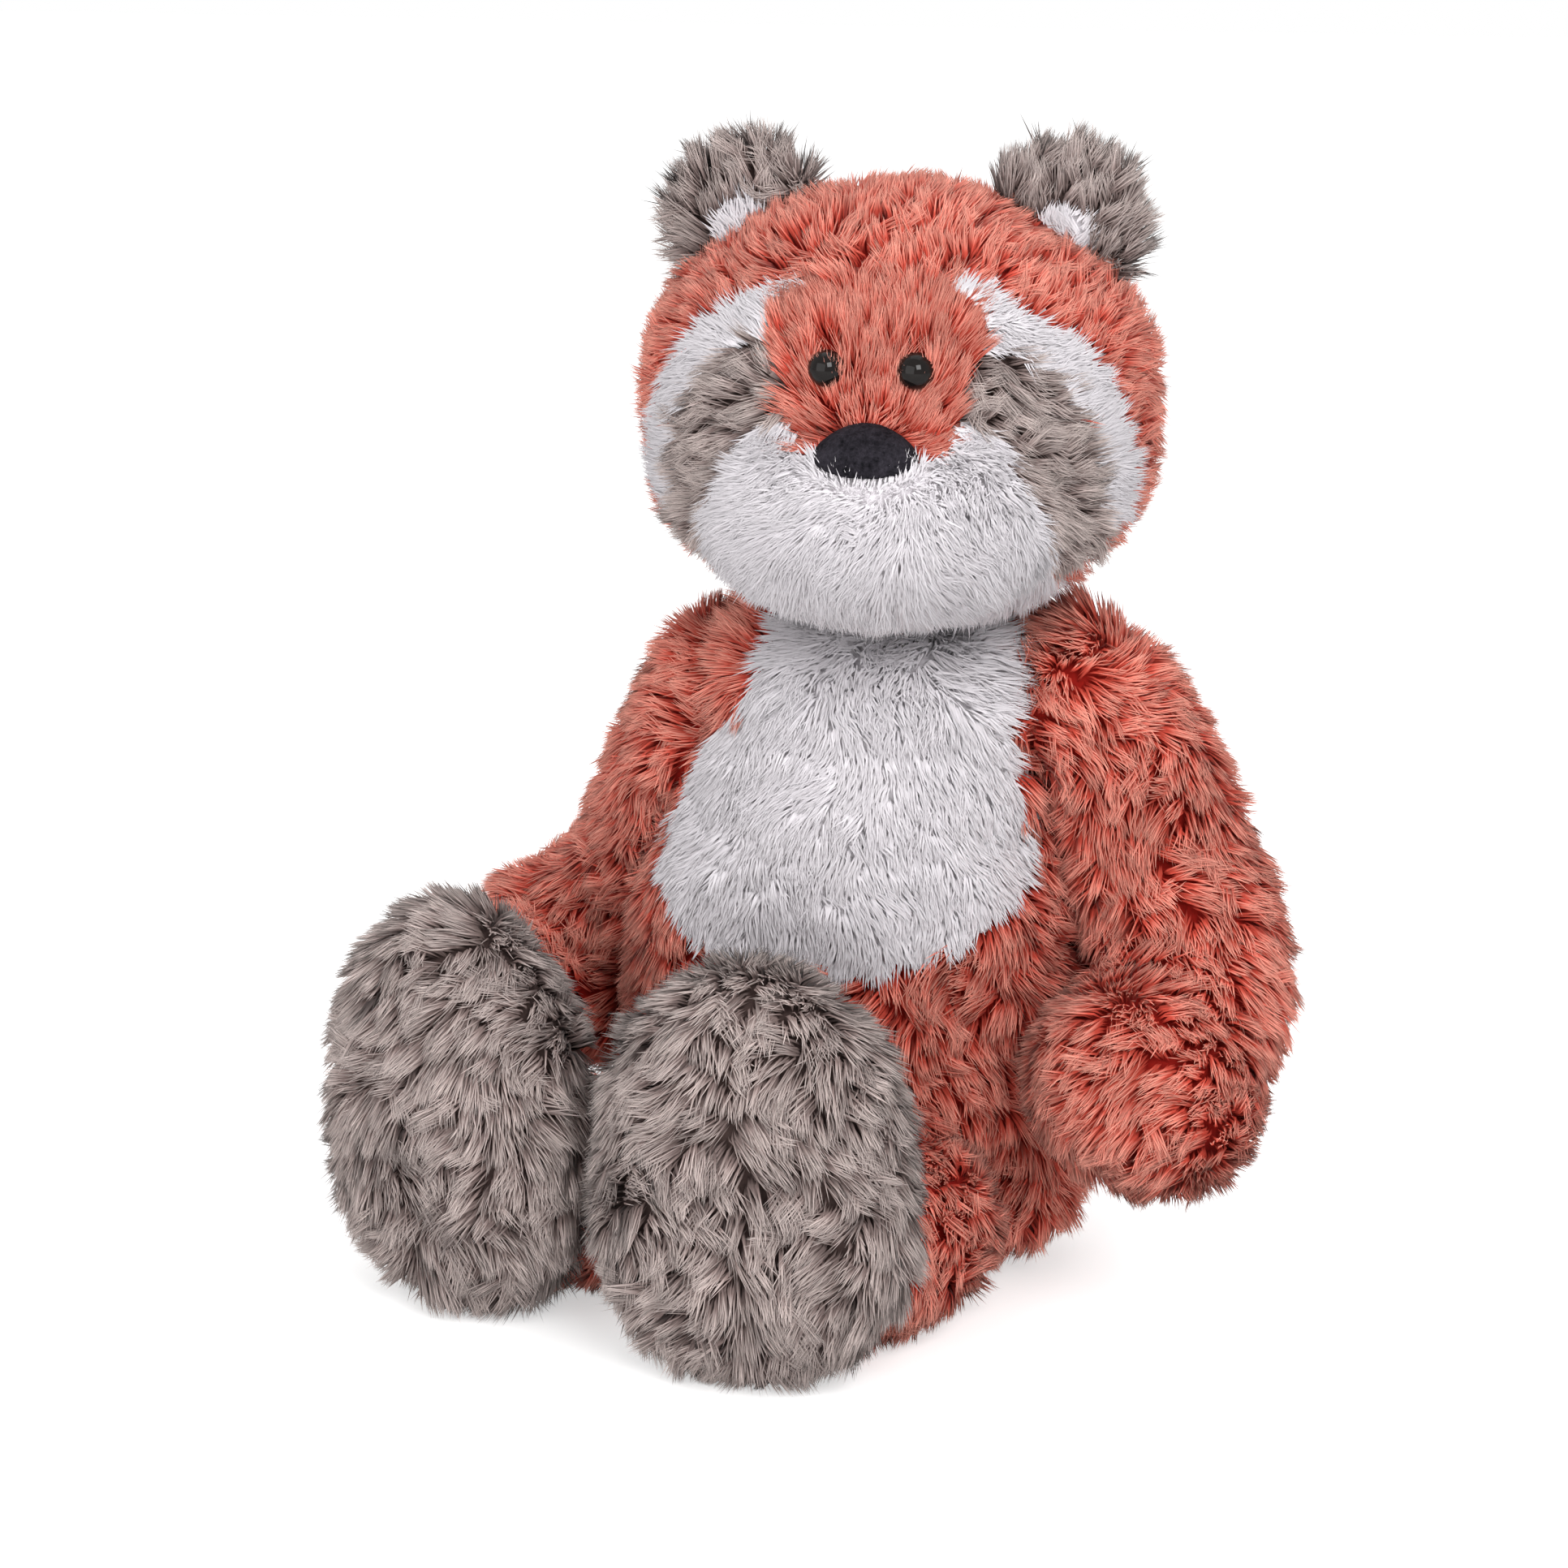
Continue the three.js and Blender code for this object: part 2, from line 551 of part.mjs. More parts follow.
// Nose: a padded felt shield on the top of the muzzle.
const headKeepOut = skull.solid({ inset: -SEAM_GAP }).add(snout.solid({ inset: -SEAM_GAP }));
const noseMiddle = at(faceX, faceFront - MUZZLE_REACH + NOSE_BACK, headMiddle.z - NOSE_BELOW);
const noseUp = at(0, 0.75, 0.66).normalize();
const nose = new StuffedForm({
  spine: [
    noseMiddle.clone().addScaledVector(noseUp, -NOSE_HALF_HEIGHT),
    noseMiddle.clone().addScaledVector(noseUp, NOSE_HALF_HEIGHT),
  ],
  girth: [
    [0, 0.5 * NOSE_HALF_WIDTH, NOSE_HALF_DEPTH],
    [0.55, NOSE_HALF_WIDTH, NOSE_HALF_DEPTH],
    [1, 0.8 * NOSE_HALF_WIDTH, NOSE_HALF_DEPTH],
  ],
  caps: [NOSE_HALF_HEIGHT * 0.8, NOSE_HALF_HEIGHT * 0.8],
  columns: 14,
  rows: 7,
});
addPiece("nose", cut(nose.solid(), headKeepOut), FELT);

// Ears: flat rounds of grey fur, each with a white lining let into its front.
for (const [side, sign] of Object.entries(SIDES)) {
  const earTop = headBase + HEAD_HEIGHT - EAR_BELOW_TOP;
  const middle = at(faceX + (sign * EAR_SPACING) / 2, headMiddle.y + EAR_BACK, earTop);
  const lean = at(sign * 0.4, 0, 0.92).normalize();
  const ear = new StuffedForm({
    spine: [-1, 0, 1].map((share) => middle.clone().addScaledVector(lean, share * EAR_RADIUS)),
    girth: [[0, EAR_RADIUS, EAR_HALF_THICKNESS], [1, EAR_RADIUS, EAR_HALF_THICKNESS]],
    caps: [EAR_RADIUS, EAR_RADIUS],
    columns: 16,
    rows: 8,
  });
  const liningMiddle = middle
    .clone()
    .addScaledVector(lean, -0.05 * EAR_RADIUS)
    .add(at(-0.1 * sign * EAR_RADIUS, -EAR_HALF_THICKNESS, 0));
  const lining = (grow) => {
    const [radius, depth] = [EAR_LINING_RADIUS + grow, EAR_LINING_DEPTH + grow];
    return new StuffedForm({
      spine: [-1, 1].map((share) => liningMiddle.clone().addScaledVector(lean, share * radius)),
      girth: [[0, radius, depth], [1, radius, depth]],
      caps: [radius, radius],
      columns: 12,
      rows: 6,
    });
  };
  addPiece(`ear_${side}`, cut(ear.solid(), headKeepOut, lining(SEAM_GAP).solid()), GREY);
  addPiece(`ear_lining_${side}`, cut(ear.solid().intersect(lining(0).solid()), headKeepOut), WHITE);
}

// Limbs. Each is a tube with a ball at its root, and the ball sits in its socket of the body.
// The tube is trimmed by the body, turned back through each step of the swing, so that it never meets it.
const SWING_STEP = 20;
const SWING_ROOM = 5.5; // how far the trimmed tube stays from the body at every angle
const ROOT_WALL = 3; // inside its seam a limb is bare cloth
function limb(form, { pivot, axis, low, high }, rootRadius, { inset = 0, rootInset = 0 } = {}) {
  const tube = inset ? form.hollow(inset - FUR_WALL) : form.solid();
  const steps = Math.ceil((high - low) / SWING_STEP);
  const body = torso.solid({ inset: -SWING_ROOM - rootInset, columns: 12, rows: 10 });
  const angles = Array.from({ length: steps + 1 }, (_, i) => low + ((high - low) * i) / steps);
  const turns = [0, ...angles].map((angle) => turnedBy(body, pivot, axis, -angle));
  return cut(tube, ...turns).add(ball(pivot, rootRadius - rootInset));
}

// The three solids of a limb: all of it, its hollow, and the stuffing that fills the hollow.
function limbSolids(form, joint, rootRadius) {
  return {
    whole: limb(form, joint, rootRadius),
    hollow: limb(form, joint, rootRadius, { inset: FUR_WALL, rootInset: ROOT_WALL }),
    stuffing: limb(form, joint, rootRadius, { inset: FUR_WALL + SEAM_GAP, rootInset: ROOT_WALL + SEAM_GAP }),
  };
}

// Arms: they swell from the shoulder to a round paw, and swing forwards, outwards and up.
// The left shoulder slants, so that its raised arm passes beside the head.
const ARM_STEPS = {
  left: [at(0.14, 0.02, -0.13), at(0.24, 0.04, -0.4), at(0.335, -0.05, -0.68), at(0.165, -0.49, -0.98)],
  right: [at(-0.13, 0.11, -0.29), at(-0.24, 0.27, -0.56), at(-0.45, 0.33, -0.8), at(-0.66, 0.27, -0.95)],
};
const ARM_LIFT = 100;
const ARM_AXES = { left: at(-0.86, -0.37, 0.36).normalize(), right: at(-0.4, 0.92, 0).normalize() };
for (const side of Object.keys(SIDES)) {
  const pivot = SHOULDERS[side];
  const inward = ARM_STEPS[side][0].clone().negate().normalize();
  const steps = ARM_STEPS[side].map((step) => pivot.clone().addScaledVector(step, ARM_REACH));
  const arm = new StuffedForm({
    spine: [pivot.clone().addScaledVector(inward, ARM_START), pivot, ...steps],
    girth: [
      [0, ARM_ROOT_RADIUS, ARM_ROOT_RADIUS],
      [0.2, 1.12 * ARM_ROOT_RADIUS, 1.12 * ARM_ROOT_RADIUS],
      [0.45, 0.96 * ELBOW_RADIUS, 0.96 * ELBOW_RADIUS],
      [0.7, ELBOW_RADIUS, ELBOW_RADIUS],
      [0.9, PAW_RADIUS, PAW_RADIUS],
      [1, PAW_RADIUS, PAW_RADIUS],
    ],
    caps: [0.6 * ARM_ROOT_RADIUS, PAW_RADIUS],
    across: at(0, 1, 0),
    columns: 12,
    rows: 12,
  });
  const axis = ARM_AXES[side];
  const joint = { name: `arm_${side}_swing`, pivot, axis, low: 0, high: ARM_LIFT };
  joints.push(joint);
  const port = ball(pivot.clone().addScaledVector(inward, ARM_ROOT_RADIUS), ARM_PORT_RADIUS);
  const { whole, hollow, stuffing } = limbSolids(arm, joint, ARM_ROOT_RADIUS);
  addPiece(`arm_${side}`, cut(whole, hollow, port), RUST);
  addPiece(`arm_filling_${side}`, stuffing, FIBRE);
}

// Legs end in upright feet, whose soles face forwards; the seat and the feet carry the toy.
// A leg's aim and a foot's facing are in degrees from straight ahead towards the toy's right.
const FEET = {
  left: { reach: LEG_REACH, aim: 38, facing: 8 },
  right: { reach: 0.83 * LEG_REACH, aim: 62, facing: 32 },
};
const ahead = (degrees) => {
  const turn = THREE.MathUtils.degToRad(degrees);
  return at(-Math.sin(turn), -Math.cos(turn), 0);
};
const LEG_DROP = 55;
const LEG_LIFT = 5;
const LEG_HEADING = 42; // the way that both legs swing
for (const side of Object.keys(SIDES)) {
  const pivot = HIPS[side];
  const { reach, aim, facing } = FEET[side];
  const level = LEG_RADIUS - FLOOR_FLAT;
  const along = (share) => pivot.clone().addScaledVector(ahead(aim), share * reach).setZ(level);
  const middle = along(1);
  const leg = new StuffedForm({
    spine: [pivot, along(0.3), along(0.65), along(1)],
    girth: [
      [0, 0.95 * HIP_RADIUS, 0.95 * HIP_RADIUS],
      [0.4, LEG_RADIUS, LEG_RADIUS],
      [1, LEG_RADIUS, LEG_RADIUS],
    ],
    caps: [0.6 * HIP_RADIUS, LEG_RADIUS],
    across: UP,
    columns: 12,
    rows: 7,
  });
  const foot = new StuffedForm({
    spine: [
      middle.clone().setZ(-FLOOR_FLAT),
      middle.clone().setZ(0.5 * FOOT_HEIGHT),
      middle.clone().setZ(FOOT_HEIGHT),
    ],
    girth: [
      [0, 0.8 * FOOT_HALF_WIDTH, 0.85 * FOOT_HALF_DEPTH],
      [0.35, FOOT_HALF_WIDTH, FOOT_HALF_DEPTH],
      [0.6, 0.95 * FOOT_HALF_WIDTH, 0.97 * FOOT_HALF_DEPTH],
      [0.85, 0.78 * FOOT_HALF_WIDTH, 0.85 * FOOT_HALF_DEPTH],
      [1, 0.6 * FOOT_HALF_WIDTH, 0.75 * FOOT_HALF_DEPTH],
    ],
    caps: [0.28 * FOOT_HEIGHT, 0.3 * FOOT_HEIGHT],
    across: UP.clone().cross(ahead(facing)),
    blunt: 2.2,
    columns: 14,
    rows: 9,
  });
  const axis = ahead(LEG_HEADING).cross(UP);
  const joint = { name: `leg_${side}_swing`, pivot, axis, low: -LEG_DROP, high: LEG_LIFT };
  joints.push(joint);
  const { whole, hollow, stuffing } = limbSolids(leg, joint, HIP_RADIUS);
  const footKeepOut = foot.solid({ inset: -SEAM_GAP });
  addPiece(`leg_${side}`, cut(whole, hollow, footKeepOut, floor), RUST);
  addPiece(`leg_filling_${side}`, cut(stuffing, foot.hollow()), FIBRE);
  addPiece(`foot_${side}`, cut(foot.solid(), foot.hollow(), hollow, floor), GREY);
  addPiece(`foot_filling_${side}`, cut(foot.hollow(SEAM_GAP), slab(-1, PELLET_LEVEL + SEAM_GAP)), FIBRE);
  addPiece(`foot_pellets_${side}`, foot.hollow(SEAM_GAP).intersect(slab(-1, PELLET_LEVEL)), BEANS);
}

// Tail: banded fur that lies on the floor behind the seat and curls to the toy's right.
const tailLevel = TAIL_RADIUS - FLOOR_FLAT;
const tailStep = (x, y) => at(TAIL_ROOT.x + x * TAIL_REACH, TAIL_ROOT.y + y * TAIL_REACH, tailLevel);
const tail = new StuffedForm({
  spine: [
    TAIL_ROOT,
    tailStep(-0.05, 0.27),
    tailStep(-0.23, 0.57),
    tailStep(-0.57, 0.77),
    tailStep(-1, 0.82),
  ],
  girth: [
    [0, 0.95 * TAIL_ROOT_RADIUS, 0.95 * TAIL_ROOT_RADIUS],
    [0.4, TAIL_RADIUS, TAIL_RADIUS],
    [0.75, TAIL_RADIUS, TAIL_RADIUS],
    [1, 0.7 * TAIL_RADIUS, 0.7 * TAIL_RADIUS],
  ],
  caps: [0.6 * TAIL_ROOT_RADIUS, 1.3 * TAIL_RADIUS],
  across: UP,
  columns: 12,
  rows: 11,
});
const TAIL_SWING = 20;
const tailJoint = { name: "tail_swing", pivot: TAIL_ROOT, axis: UP, low: -TAIL_SWING, high: TAIL_SWING };
joints.push(tailJoint);
const tailSolids = limbSolids(tail, tailJoint, TAIL_ROOT_RADIUS);
const tailSkin = cut(tailSolids.whole, tailSolids.hollow, floor);
// Everything of the tail past a share of its length, moved on by `shift`.
function tailPast(share, shift) {
  const tangent = tail.curve.getTangentAt(share);
  const block = new THREE.BoxGeometry(BEYOND, BEYOND, BEYOND).translate(0, 0, BEYOND / 2 + shift);
  block.applyQuaternion(new THREE.Quaternion().setFromUnitVectors(UP, tangent));
  const place = tail.curve.getPointAt(share);
  return solidOf(block.translate(place.x, place.y, place.z));
}
const bandStart = 0.28; // the root band is longer, because it starts inside the seam
const bandShare = (band) => bandStart + ((1 - bandStart) * (band - 1)) / (TAIL_BANDS - 1);
for (let band = 0; band < TAIL_BANDS; band++) {
  let ring = tailSkin;
  if (band > 0) ring = ring.intersect(tailPast(bandShare(band), SEAM_GAP / 2));
  if (band < TAIL_BANDS - 1) ring = ring.subtract(tailPast(bandShare(band + 1), -SEAM_GAP / 2));
  addPiece(`tail_band_${band + 1}`, ring, band % 2 ? GREY : RUST);
}
addPiece("tail_filling", tailSolids.stuffing, FIBRE);

toy.userData.joints = joints;
export default toy;
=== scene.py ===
# %% [markdown]
# # A seated plush raccoon, with its long fur made as mesh
# The toy is sewn from long-pile cloth in three colours and stuffed until every limb is a soft, swollen form.
# What a buyer sees is almost only pile: thousands of tufts, each a bundle of fibres drawn to a point.
# This script gives every sewn panel a backing cloth and a pile of small tapered locks, all from numpy arrays.

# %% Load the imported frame
import math

import bpy
import numpy as np
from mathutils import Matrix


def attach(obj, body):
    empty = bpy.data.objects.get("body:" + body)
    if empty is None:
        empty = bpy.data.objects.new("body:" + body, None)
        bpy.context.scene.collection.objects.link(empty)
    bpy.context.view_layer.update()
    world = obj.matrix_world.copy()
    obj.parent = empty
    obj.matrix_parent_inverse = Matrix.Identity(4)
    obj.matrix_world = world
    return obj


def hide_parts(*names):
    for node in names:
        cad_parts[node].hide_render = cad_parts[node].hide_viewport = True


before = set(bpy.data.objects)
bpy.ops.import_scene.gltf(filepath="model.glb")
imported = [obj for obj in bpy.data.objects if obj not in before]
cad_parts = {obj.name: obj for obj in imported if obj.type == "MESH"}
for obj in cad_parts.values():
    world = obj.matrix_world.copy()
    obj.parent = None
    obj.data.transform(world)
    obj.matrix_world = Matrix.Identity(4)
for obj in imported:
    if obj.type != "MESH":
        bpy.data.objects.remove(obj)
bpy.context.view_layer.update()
MM = 0.001  # sizes below are in millimetres, as in the sewing plan, and meshes are in metres
rng = np.random.default_rng(20)

# %% [markdown]
# ## Camera, floor and lamps
# The photograph was taken a little above the toy and a little to its left, with a long lens.
# The camera is placed by its angles round the toy, so that the same numbers can be read off the picture.

# %% Camera
CAMERA_AZIMUTH, CAMERA_ELEVATION = math.radians(9), math.radians(16)
CAMERA_DISTANCE = 1130
CAMERA_TARGET = np.array([-20.1, -8.65, 131.2])


def sight(azimuth, elevation):
    """The unit vector from the target back to a camera at these angles: azimuth 0 looks along +Y."""
    level = math.cos(elevation)
    return np.array([math.sin(azimuth) * level, -math.cos(azimuth) * level, math.sin(elevation)])


def aimed(thing, place, target):
    """Puts an object at a place and turns its -Z axis towards the target, both in millimetres."""
    back = np.asarray(place, float) - target
    back /= np.linalg.norm(back)
    side = np.cross([0, 0, 1], back)
    side /= np.linalg.norm(side)
    turn = np.eye(4)
    turn[:3, 0], turn[:3, 1], turn[:3, 2] = side, np.cross(back, side), back
    turn[:3, 3] = np.asarray(place, float) * MM
    thing.matrix_world = turn.T
    return thing


def linked(name, data):
    """A new object with this data, linked to the scene."""
    thing = bpy.data.objects.new(name, data)
    bpy.context.scene.collection.objects.link(thing)
    return thing


lens = bpy.data.cameras.new("studio_camera")
lens.lens, lens.sensor_width, lens.clip_end = 100, 36, 20
camera = linked("studio_camera", lens)
aimed(camera, CAMERA_TARGET + CAMERA_DISTANCE * sight(CAMERA_AZIMUTH, CAMERA_ELEVATION), CAMERA_TARGET)
bpy.context.scene.camera = camera
print("camera at", np.round(np.array(camera.matrix_world.translation) / MM), "mm")

# %% [markdown]
# Shader sums read best as sums, so a small class wraps a node's output and lets Python's own operators add
# the Math nodes. Every other node comes from one method that takes its type, its settings and its inputs.


# %% A small language for shaders
class Value:
    """An output of a node, or a plain number, that adds Math nodes when it is used in an expression."""

    def __init__(self, finish, socket):
        self.finish, self.socket = finish, socket

    def maths(self, operation, *others):
        """A Math node on this value and the others."""
        inputs = {i: other for i, other in enumerate((self, *others))}
        return self.finish.node("Math", {"operation": operation}, inputs)

    def __add__(self, other):
        return self.maths("ADD", other)

    def __sub__(self, other):
        return self.maths("SUBTRACT", other)

    def __mul__(self, other):
        return self.maths("MULTIPLY", other)

    def __truediv__(self, other):
        return self.maths("DIVIDE", other)

    __radd__, __rmul__ = __add__, __mul__

    def clipped(self):
        """The value held between 0 and 1."""
        return self.maths("MAXIMUM", 0.0).maths("MINIMUM", 1.0)


class Finish:
    """A material with its nodes. `node` adds one of any type: settings first, then the inputs."""

    def __init__(self, name, **shader):
        self.material = bpy.data.materials.new(name)
        self.material.use_nodes = True
        self.tree = self.material.node_tree
        self.shader = self.tree.nodes["Principled BSDF"]
        for socket, value in shader.items():
            self.shader.inputs[socket.replace("_", " ")].default_value = value

    def node(self, kind, settings=None, inputs=None, output=0):
        made = self.tree.nodes.new("ShaderNode" + kind)
        for name, value in (settings or {}).items():
            setattr(made, name, value)
        for name, value in (inputs or {}).items():
            self.feed(made.inputs[name], value)
        return Value(self, made.outputs[output])

    def feed(self, socket, value):
        """Links a value to a socket, or types a plain number or colour into it."""
        value = value.socket if isinstance(value, Value) else value
        if isinstance(value, bpy.types.NodeSocket):
            self.tree.links.new(value, socket)
        else:
            socket.default_value = value

    def mix(self, share, first, second):
        """A colour between two others."""
        return self.node("Mix", {"data_type": "RGBA"}, {0: share, 6: first, 7: second}, output=2)

    def scaled(self, colour, factor):
        """A colour made lighter or darker by a number."""
        return self.node("VectorMath", {"operation": "SCALE"}, {0: colour, "Scale": factor})

    def surface(self, socket, value):
        """Feeds a socket of the Principled shader."""
        self.feed(self.shader.inputs[socket], value)
        return self


def linear(*rgb):
    """The linear colour of an sRGB one given as three numbers from 0 to 255."""
    share = np.array(rgb) / 255
    value = np.where(share <= 0.04045, share / 12.92, ((share + 0.055) / 1.055) ** 2.4)
    return (*value.tolist(), 1.0)


# %% [markdown]
# A white sweep stands in for the studio's paper. It is nearly white under the lamps, and its camera rays get
# the last few percent as light of their own: the paper reads as white, and the toy's soft shadow stays.
# The air round it gives the toy less light than the camera sees in it, which deepens the folds of the fur.

# %% Floor and backdrop
FLOOR_HALF = 3000
PAPER, PAPER_GLOW = 0.85, 0.5
AIR_LIGHT = 0.7
floor_mesh = bpy.data.meshes.new("paper_floor")
corners = np.array([[-1, -1, 0], [1, -1, 0], [1, 1, 0], [-1, 1, 0]]) * FLOOR_HALF * MM
floor_mesh.from_pydata(corners.tolist(), [], [(0, 1, 2, 3)])
paper = Finish("studio_paper", Roughness=1.0, Specular_IOR_Level=0.0)
paper.shader.inputs["Base Color"].default_value = (PAPER, PAPER, PAPER, 1)
seen = paper.node("LightPath")
glow = paper.node("Emission", None, {"Strength": seen * PAPER_GLOW})
both = paper.node("AddShader", None, {0: paper.shader.outputs[0], 1: glow})
paper.tree.links.new(both.socket, paper.tree.nodes["Material Output"].inputs["Surface"])
floor_mesh.materials.append(paper.material)
floor = linked("paper_floor", floor_mesh)

world = bpy.data.worlds.new("studio_air")
bpy.context.scene.world = world
world.use_nodes = True
air = world.node_tree
camera_ray = air.nodes.new("ShaderNodeLightPath")
lift = air.nodes.new("ShaderNodeMapRange")
lift.inputs["To Min"].default_value, lift.inputs["To Max"].default_value = AIR_LIGHT, 1.0
air.links.new(camera_ray.outputs["Is Camera Ray"], lift.inputs["Value"])
air.links.new(lift.outputs[0], air.nodes["Background"].inputs["Strength"])
air.nodes["Background"].inputs["Color"].default_value = (1, 1, 1, 1)


# %% Soft boxes
def soft_box(name, azimuth, elevation, distance, size, power):
    """A square lamp aimed at the toy from these angles in degrees and this distance in millimetres."""
    data = bpy.data.lights.new(name, "AREA")
    data.shape, data.size, data.energy = "SQUARE", size * MM, power
    place = CAMERA_TARGET + distance * sight(math.radians(azimuth), math.radians(elevation))
    return aimed(linked(name, data), place, CAMERA_TARGET)


soft_box("key_box", 28, 34, 1500, 650, 12)
soft_box("fill_box", -28, 12, 1600, 1600, 12)
soft_box("top_box", 170, 72, 1500, 1200, 3.5)
bpy.context.scene.view_settings.view_transform = "Standard"

# %% [markdown]
# ## The stuffed forms
# A stuffed limb is a tube that swells and tapers round a curved middle line and closes in a rounded cap.
# The same description made the solids of the frame, so the pile grows on the forms that the joints move.


# %% A stuffed form as arrays
CAP_ROWS = 1.4  # a rounded cap takes this many times its depth of the rows along a form
BATCH = 4000  # points that are compared with a whole line at once


def centre_line(knots, steps=60):
    """A smooth line through the knots: a centripetal Catmull-Rom spline, sampled `steps` times a span."""
    knots = np.asarray(knots, float)
    held = np.vstack([2 * knots[0] - knots[1], knots, 2 * knots[-1] - knots[-2]])
    t = np.linspace(0, 1, steps, endpoint=False)[:, None]
    spans = []
    for p0, p1, p2, p3 in zip(held, held[1:], held[2:], held[3:]):
        d0, d1, d2 = (np.linalg.norm(b - a) ** 0.5 for a, b in ((p0, p1), (p1, p2), (p2, p3)))
        start = ((p1 - p0) / d0 - (p2 - p0) / (d0 + d1) + (p2 - p1) / d1) * d1
        end = ((p2 - p1) / d1 - (p3 - p1) / (d1 + d2) + (p3 - p2) / d2) * d1
        square, cube = 3 * (p2 - p1) - 2 * start - end, 2 * (p1 - p2) + start + end
        spans.append(p1 + start * t + square * t**2 + cube * t**3)
    return np.vstack([*spans, knots[-1:]])


def between(rows, share, column):
    """A smooth value between rows of [share, value...]: a cubic with level ends that never overshoots."""
    rows = np.asarray(rows, float)
    x, y = rows[:, 0], rows[:, column]
    rise = np.diff(y) / np.diff(x)
    slope = np.zeros(len(x))
    for i in range(1, len(x) - 1):
        product = rise[i - 1] * rise[i]
        slope[i] = 2 * product / (rise[i - 1] + rise[i]) if product > 0 else 0
    share = np.clip(share, x[0], x[-1])
    k = np.clip(np.searchsorted(x, share, side="right") - 1, 0, len(x) - 2)
    span = x[k + 1] - x[k]
    t = (share - x[k]) / span
    return (
        y[k] * (1 + 2 * t) * (1 - t) ** 2
        + slope[k] * span * t * (1 - t) ** 2
        + y[k + 1] * t**2 * (3 - 2 * t)
        - slope[k + 1] * span * t**2 * (1 - t)
    )


def unit(vectors):
    """The vectors at length 1."""
    return vectors / np.maximum(np.linalg.norm(vectors, axis=-1, keepdims=True), 1e-9)


def ramp(value, span):
    """0 below 0, 1 above the span and a straight rise between."""
    return np.clip(value / span, 0, 1)


def ball_angles(columns, rows):
    """Turn round a ball's axis and fall from its pole, as a grid of whole rings."""
    return np.meshgrid(np.arange(columns) / columns * 2 * np.pi, np.linspace(0, np.pi, rows + 1))


class Form:
    """A stuffed form: elliptical rings on a curved line, closed by a superellipse cap at each end."""

    def __init__(self, knots, girth, caps, across=(1, 0, 0), blunt=2.0):
        self.girth, self.caps, self.blunt = girth, caps, blunt
        self.line = centre_line(knots)
        self.far = np.concatenate([[0], np.cumsum(np.linalg.norm(np.diff(self.line, axis=0), axis=1))])
        self.length = self.far[-1]
        self.tangent = unit(np.gradient(self.line, self.far, axis=0))
        self.across = np.asarray(across, float)

    def at(self, along):
        """Place, tangent and the two cross directions of the middle line at a distance along it."""
        inside = np.clip(along, 0, self.length)
        place = np.stack([np.interp(inside, self.far, self.line[:, i]) for i in range(3)], -1)
        tangent = unit(np.stack([np.interp(inside, self.far, self.tangent[:, i]) for i in range(3)], -1))
        side = unit(self.across - (tangent @ self.across)[..., None] * tangent)
        return place, tangent, side, np.cross(tangent, side)

    def ring(self, v):
        """Distance along the line and size of the ring at v, from pole to pole over 0 to 1."""
        first, second = self.caps
        middle = max(self.length - first - second, 0)
        whole = CAP_ROWS * (first + second) + middle
        ends = CAP_ROWS * first / whole, 1 - CAP_ROWS * second / whole
        power = 2 / self.blunt
        low, high = ramp(v, ends[0]) * np.pi / 2, ramp(1 - v, 1 - ends[1]) * np.pi / 2
        straight = first + (v - ends[0]) / max(ends[1] - ends[0], 1e-9) * middle
        along = np.where(v <= ends[0], first * (1 - np.cos(low) ** power), straight)
        along = np.where(v > ends[1], self.length - second * (1 - np.cos(high) ** power), along)
        size = np.where(v <= ends[0], np.sin(low) ** power, np.where(v > ends[1], np.sin(high) ** power, 1.0))
        return along, size

    def place(self, u, v):
        """The point at angle u and place v: the line's point plus an ellipse across it."""
        along, size = self.ring(v)
        centre, _, side, other = self.at(along)
        share, turn = along / self.length, 2 * np.pi * u
        wide = size * between(self.girth, share, 1) * np.cos(turn)
        deep = size * between(self.girth, share, 2) * np.sin(turn)
        return centre + wide[..., None] * side + deep[..., None] * other

    def skin(self, u, v, inset=0.0):
        """Point, outward normal and direction from pole to pole of the surface, moved inwards by `inset`.

        The normal is the cross product of the steps round the ring and along the form. In a tight crook the
        rings overlap and the second step runs backwards, so both directions are turned to face outwards.
        """
        step = 1e-3
        inner = np.clip(v, step, 1 - step)
        round_it = self.place(u + step, inner) - self.place(u - step, inner)
        along = unit(self.place(u, inner + step) - self.place(u, inner - step))
        normal = unit(np.cross(round_it, along))
        point = self.place(u, v)
        middle = self.at(self.ring(v)[0])[0]
        facing = np.where(((point - middle) * normal).sum(-1, keepdims=True) < 0, -1.0, 1.0)
        return point - inset * facing * normal, facing * normal, facing * along

    def depth(self, points, inset=0.0):
        """How deep points lie, as a share of the form's own half-width there: under 1 is inside."""
        points = np.asarray(points, float)
        found = np.empty(len(points))
        for start in range(0, len(points), BATCH):
            part = points[start : start + BATCH]
            gaps = ((part[:, None, :] - self.line[None, ::3, :]) ** 2).sum(-1)
            near = gaps.argmin(1) * 3
            along = self.far[near] + ((part - self.line[near]) * self.tangent[near]).sum(-1)
            centre, _, side, other = self.at(along)
            beyond = along - np.clip(along, 0, self.length)
            first, second = self.caps
            low, high = np.clip(1 - along / first, 0, 1), np.clip(1 - (self.length - along) / second, 0, 1)
            size = np.maximum(1 - np.maximum(low, high) ** self.blunt, 1e-4) ** (1 / self.blunt)
            share = np.clip(along / self.length, 0, 1)
            offset = part - centre
            wide = (offset * side).sum(-1) / np.maximum(size * between(self.girth, share, 1) - inset, 0.5)
            deep = (offset * other).sum(-1) / np.maximum(size * between(self.girth, share, 2) - inset, 0.5)
            found[start : start + BATCH] = np.hypot(wide, deep) + np.abs(beyond)
        return found


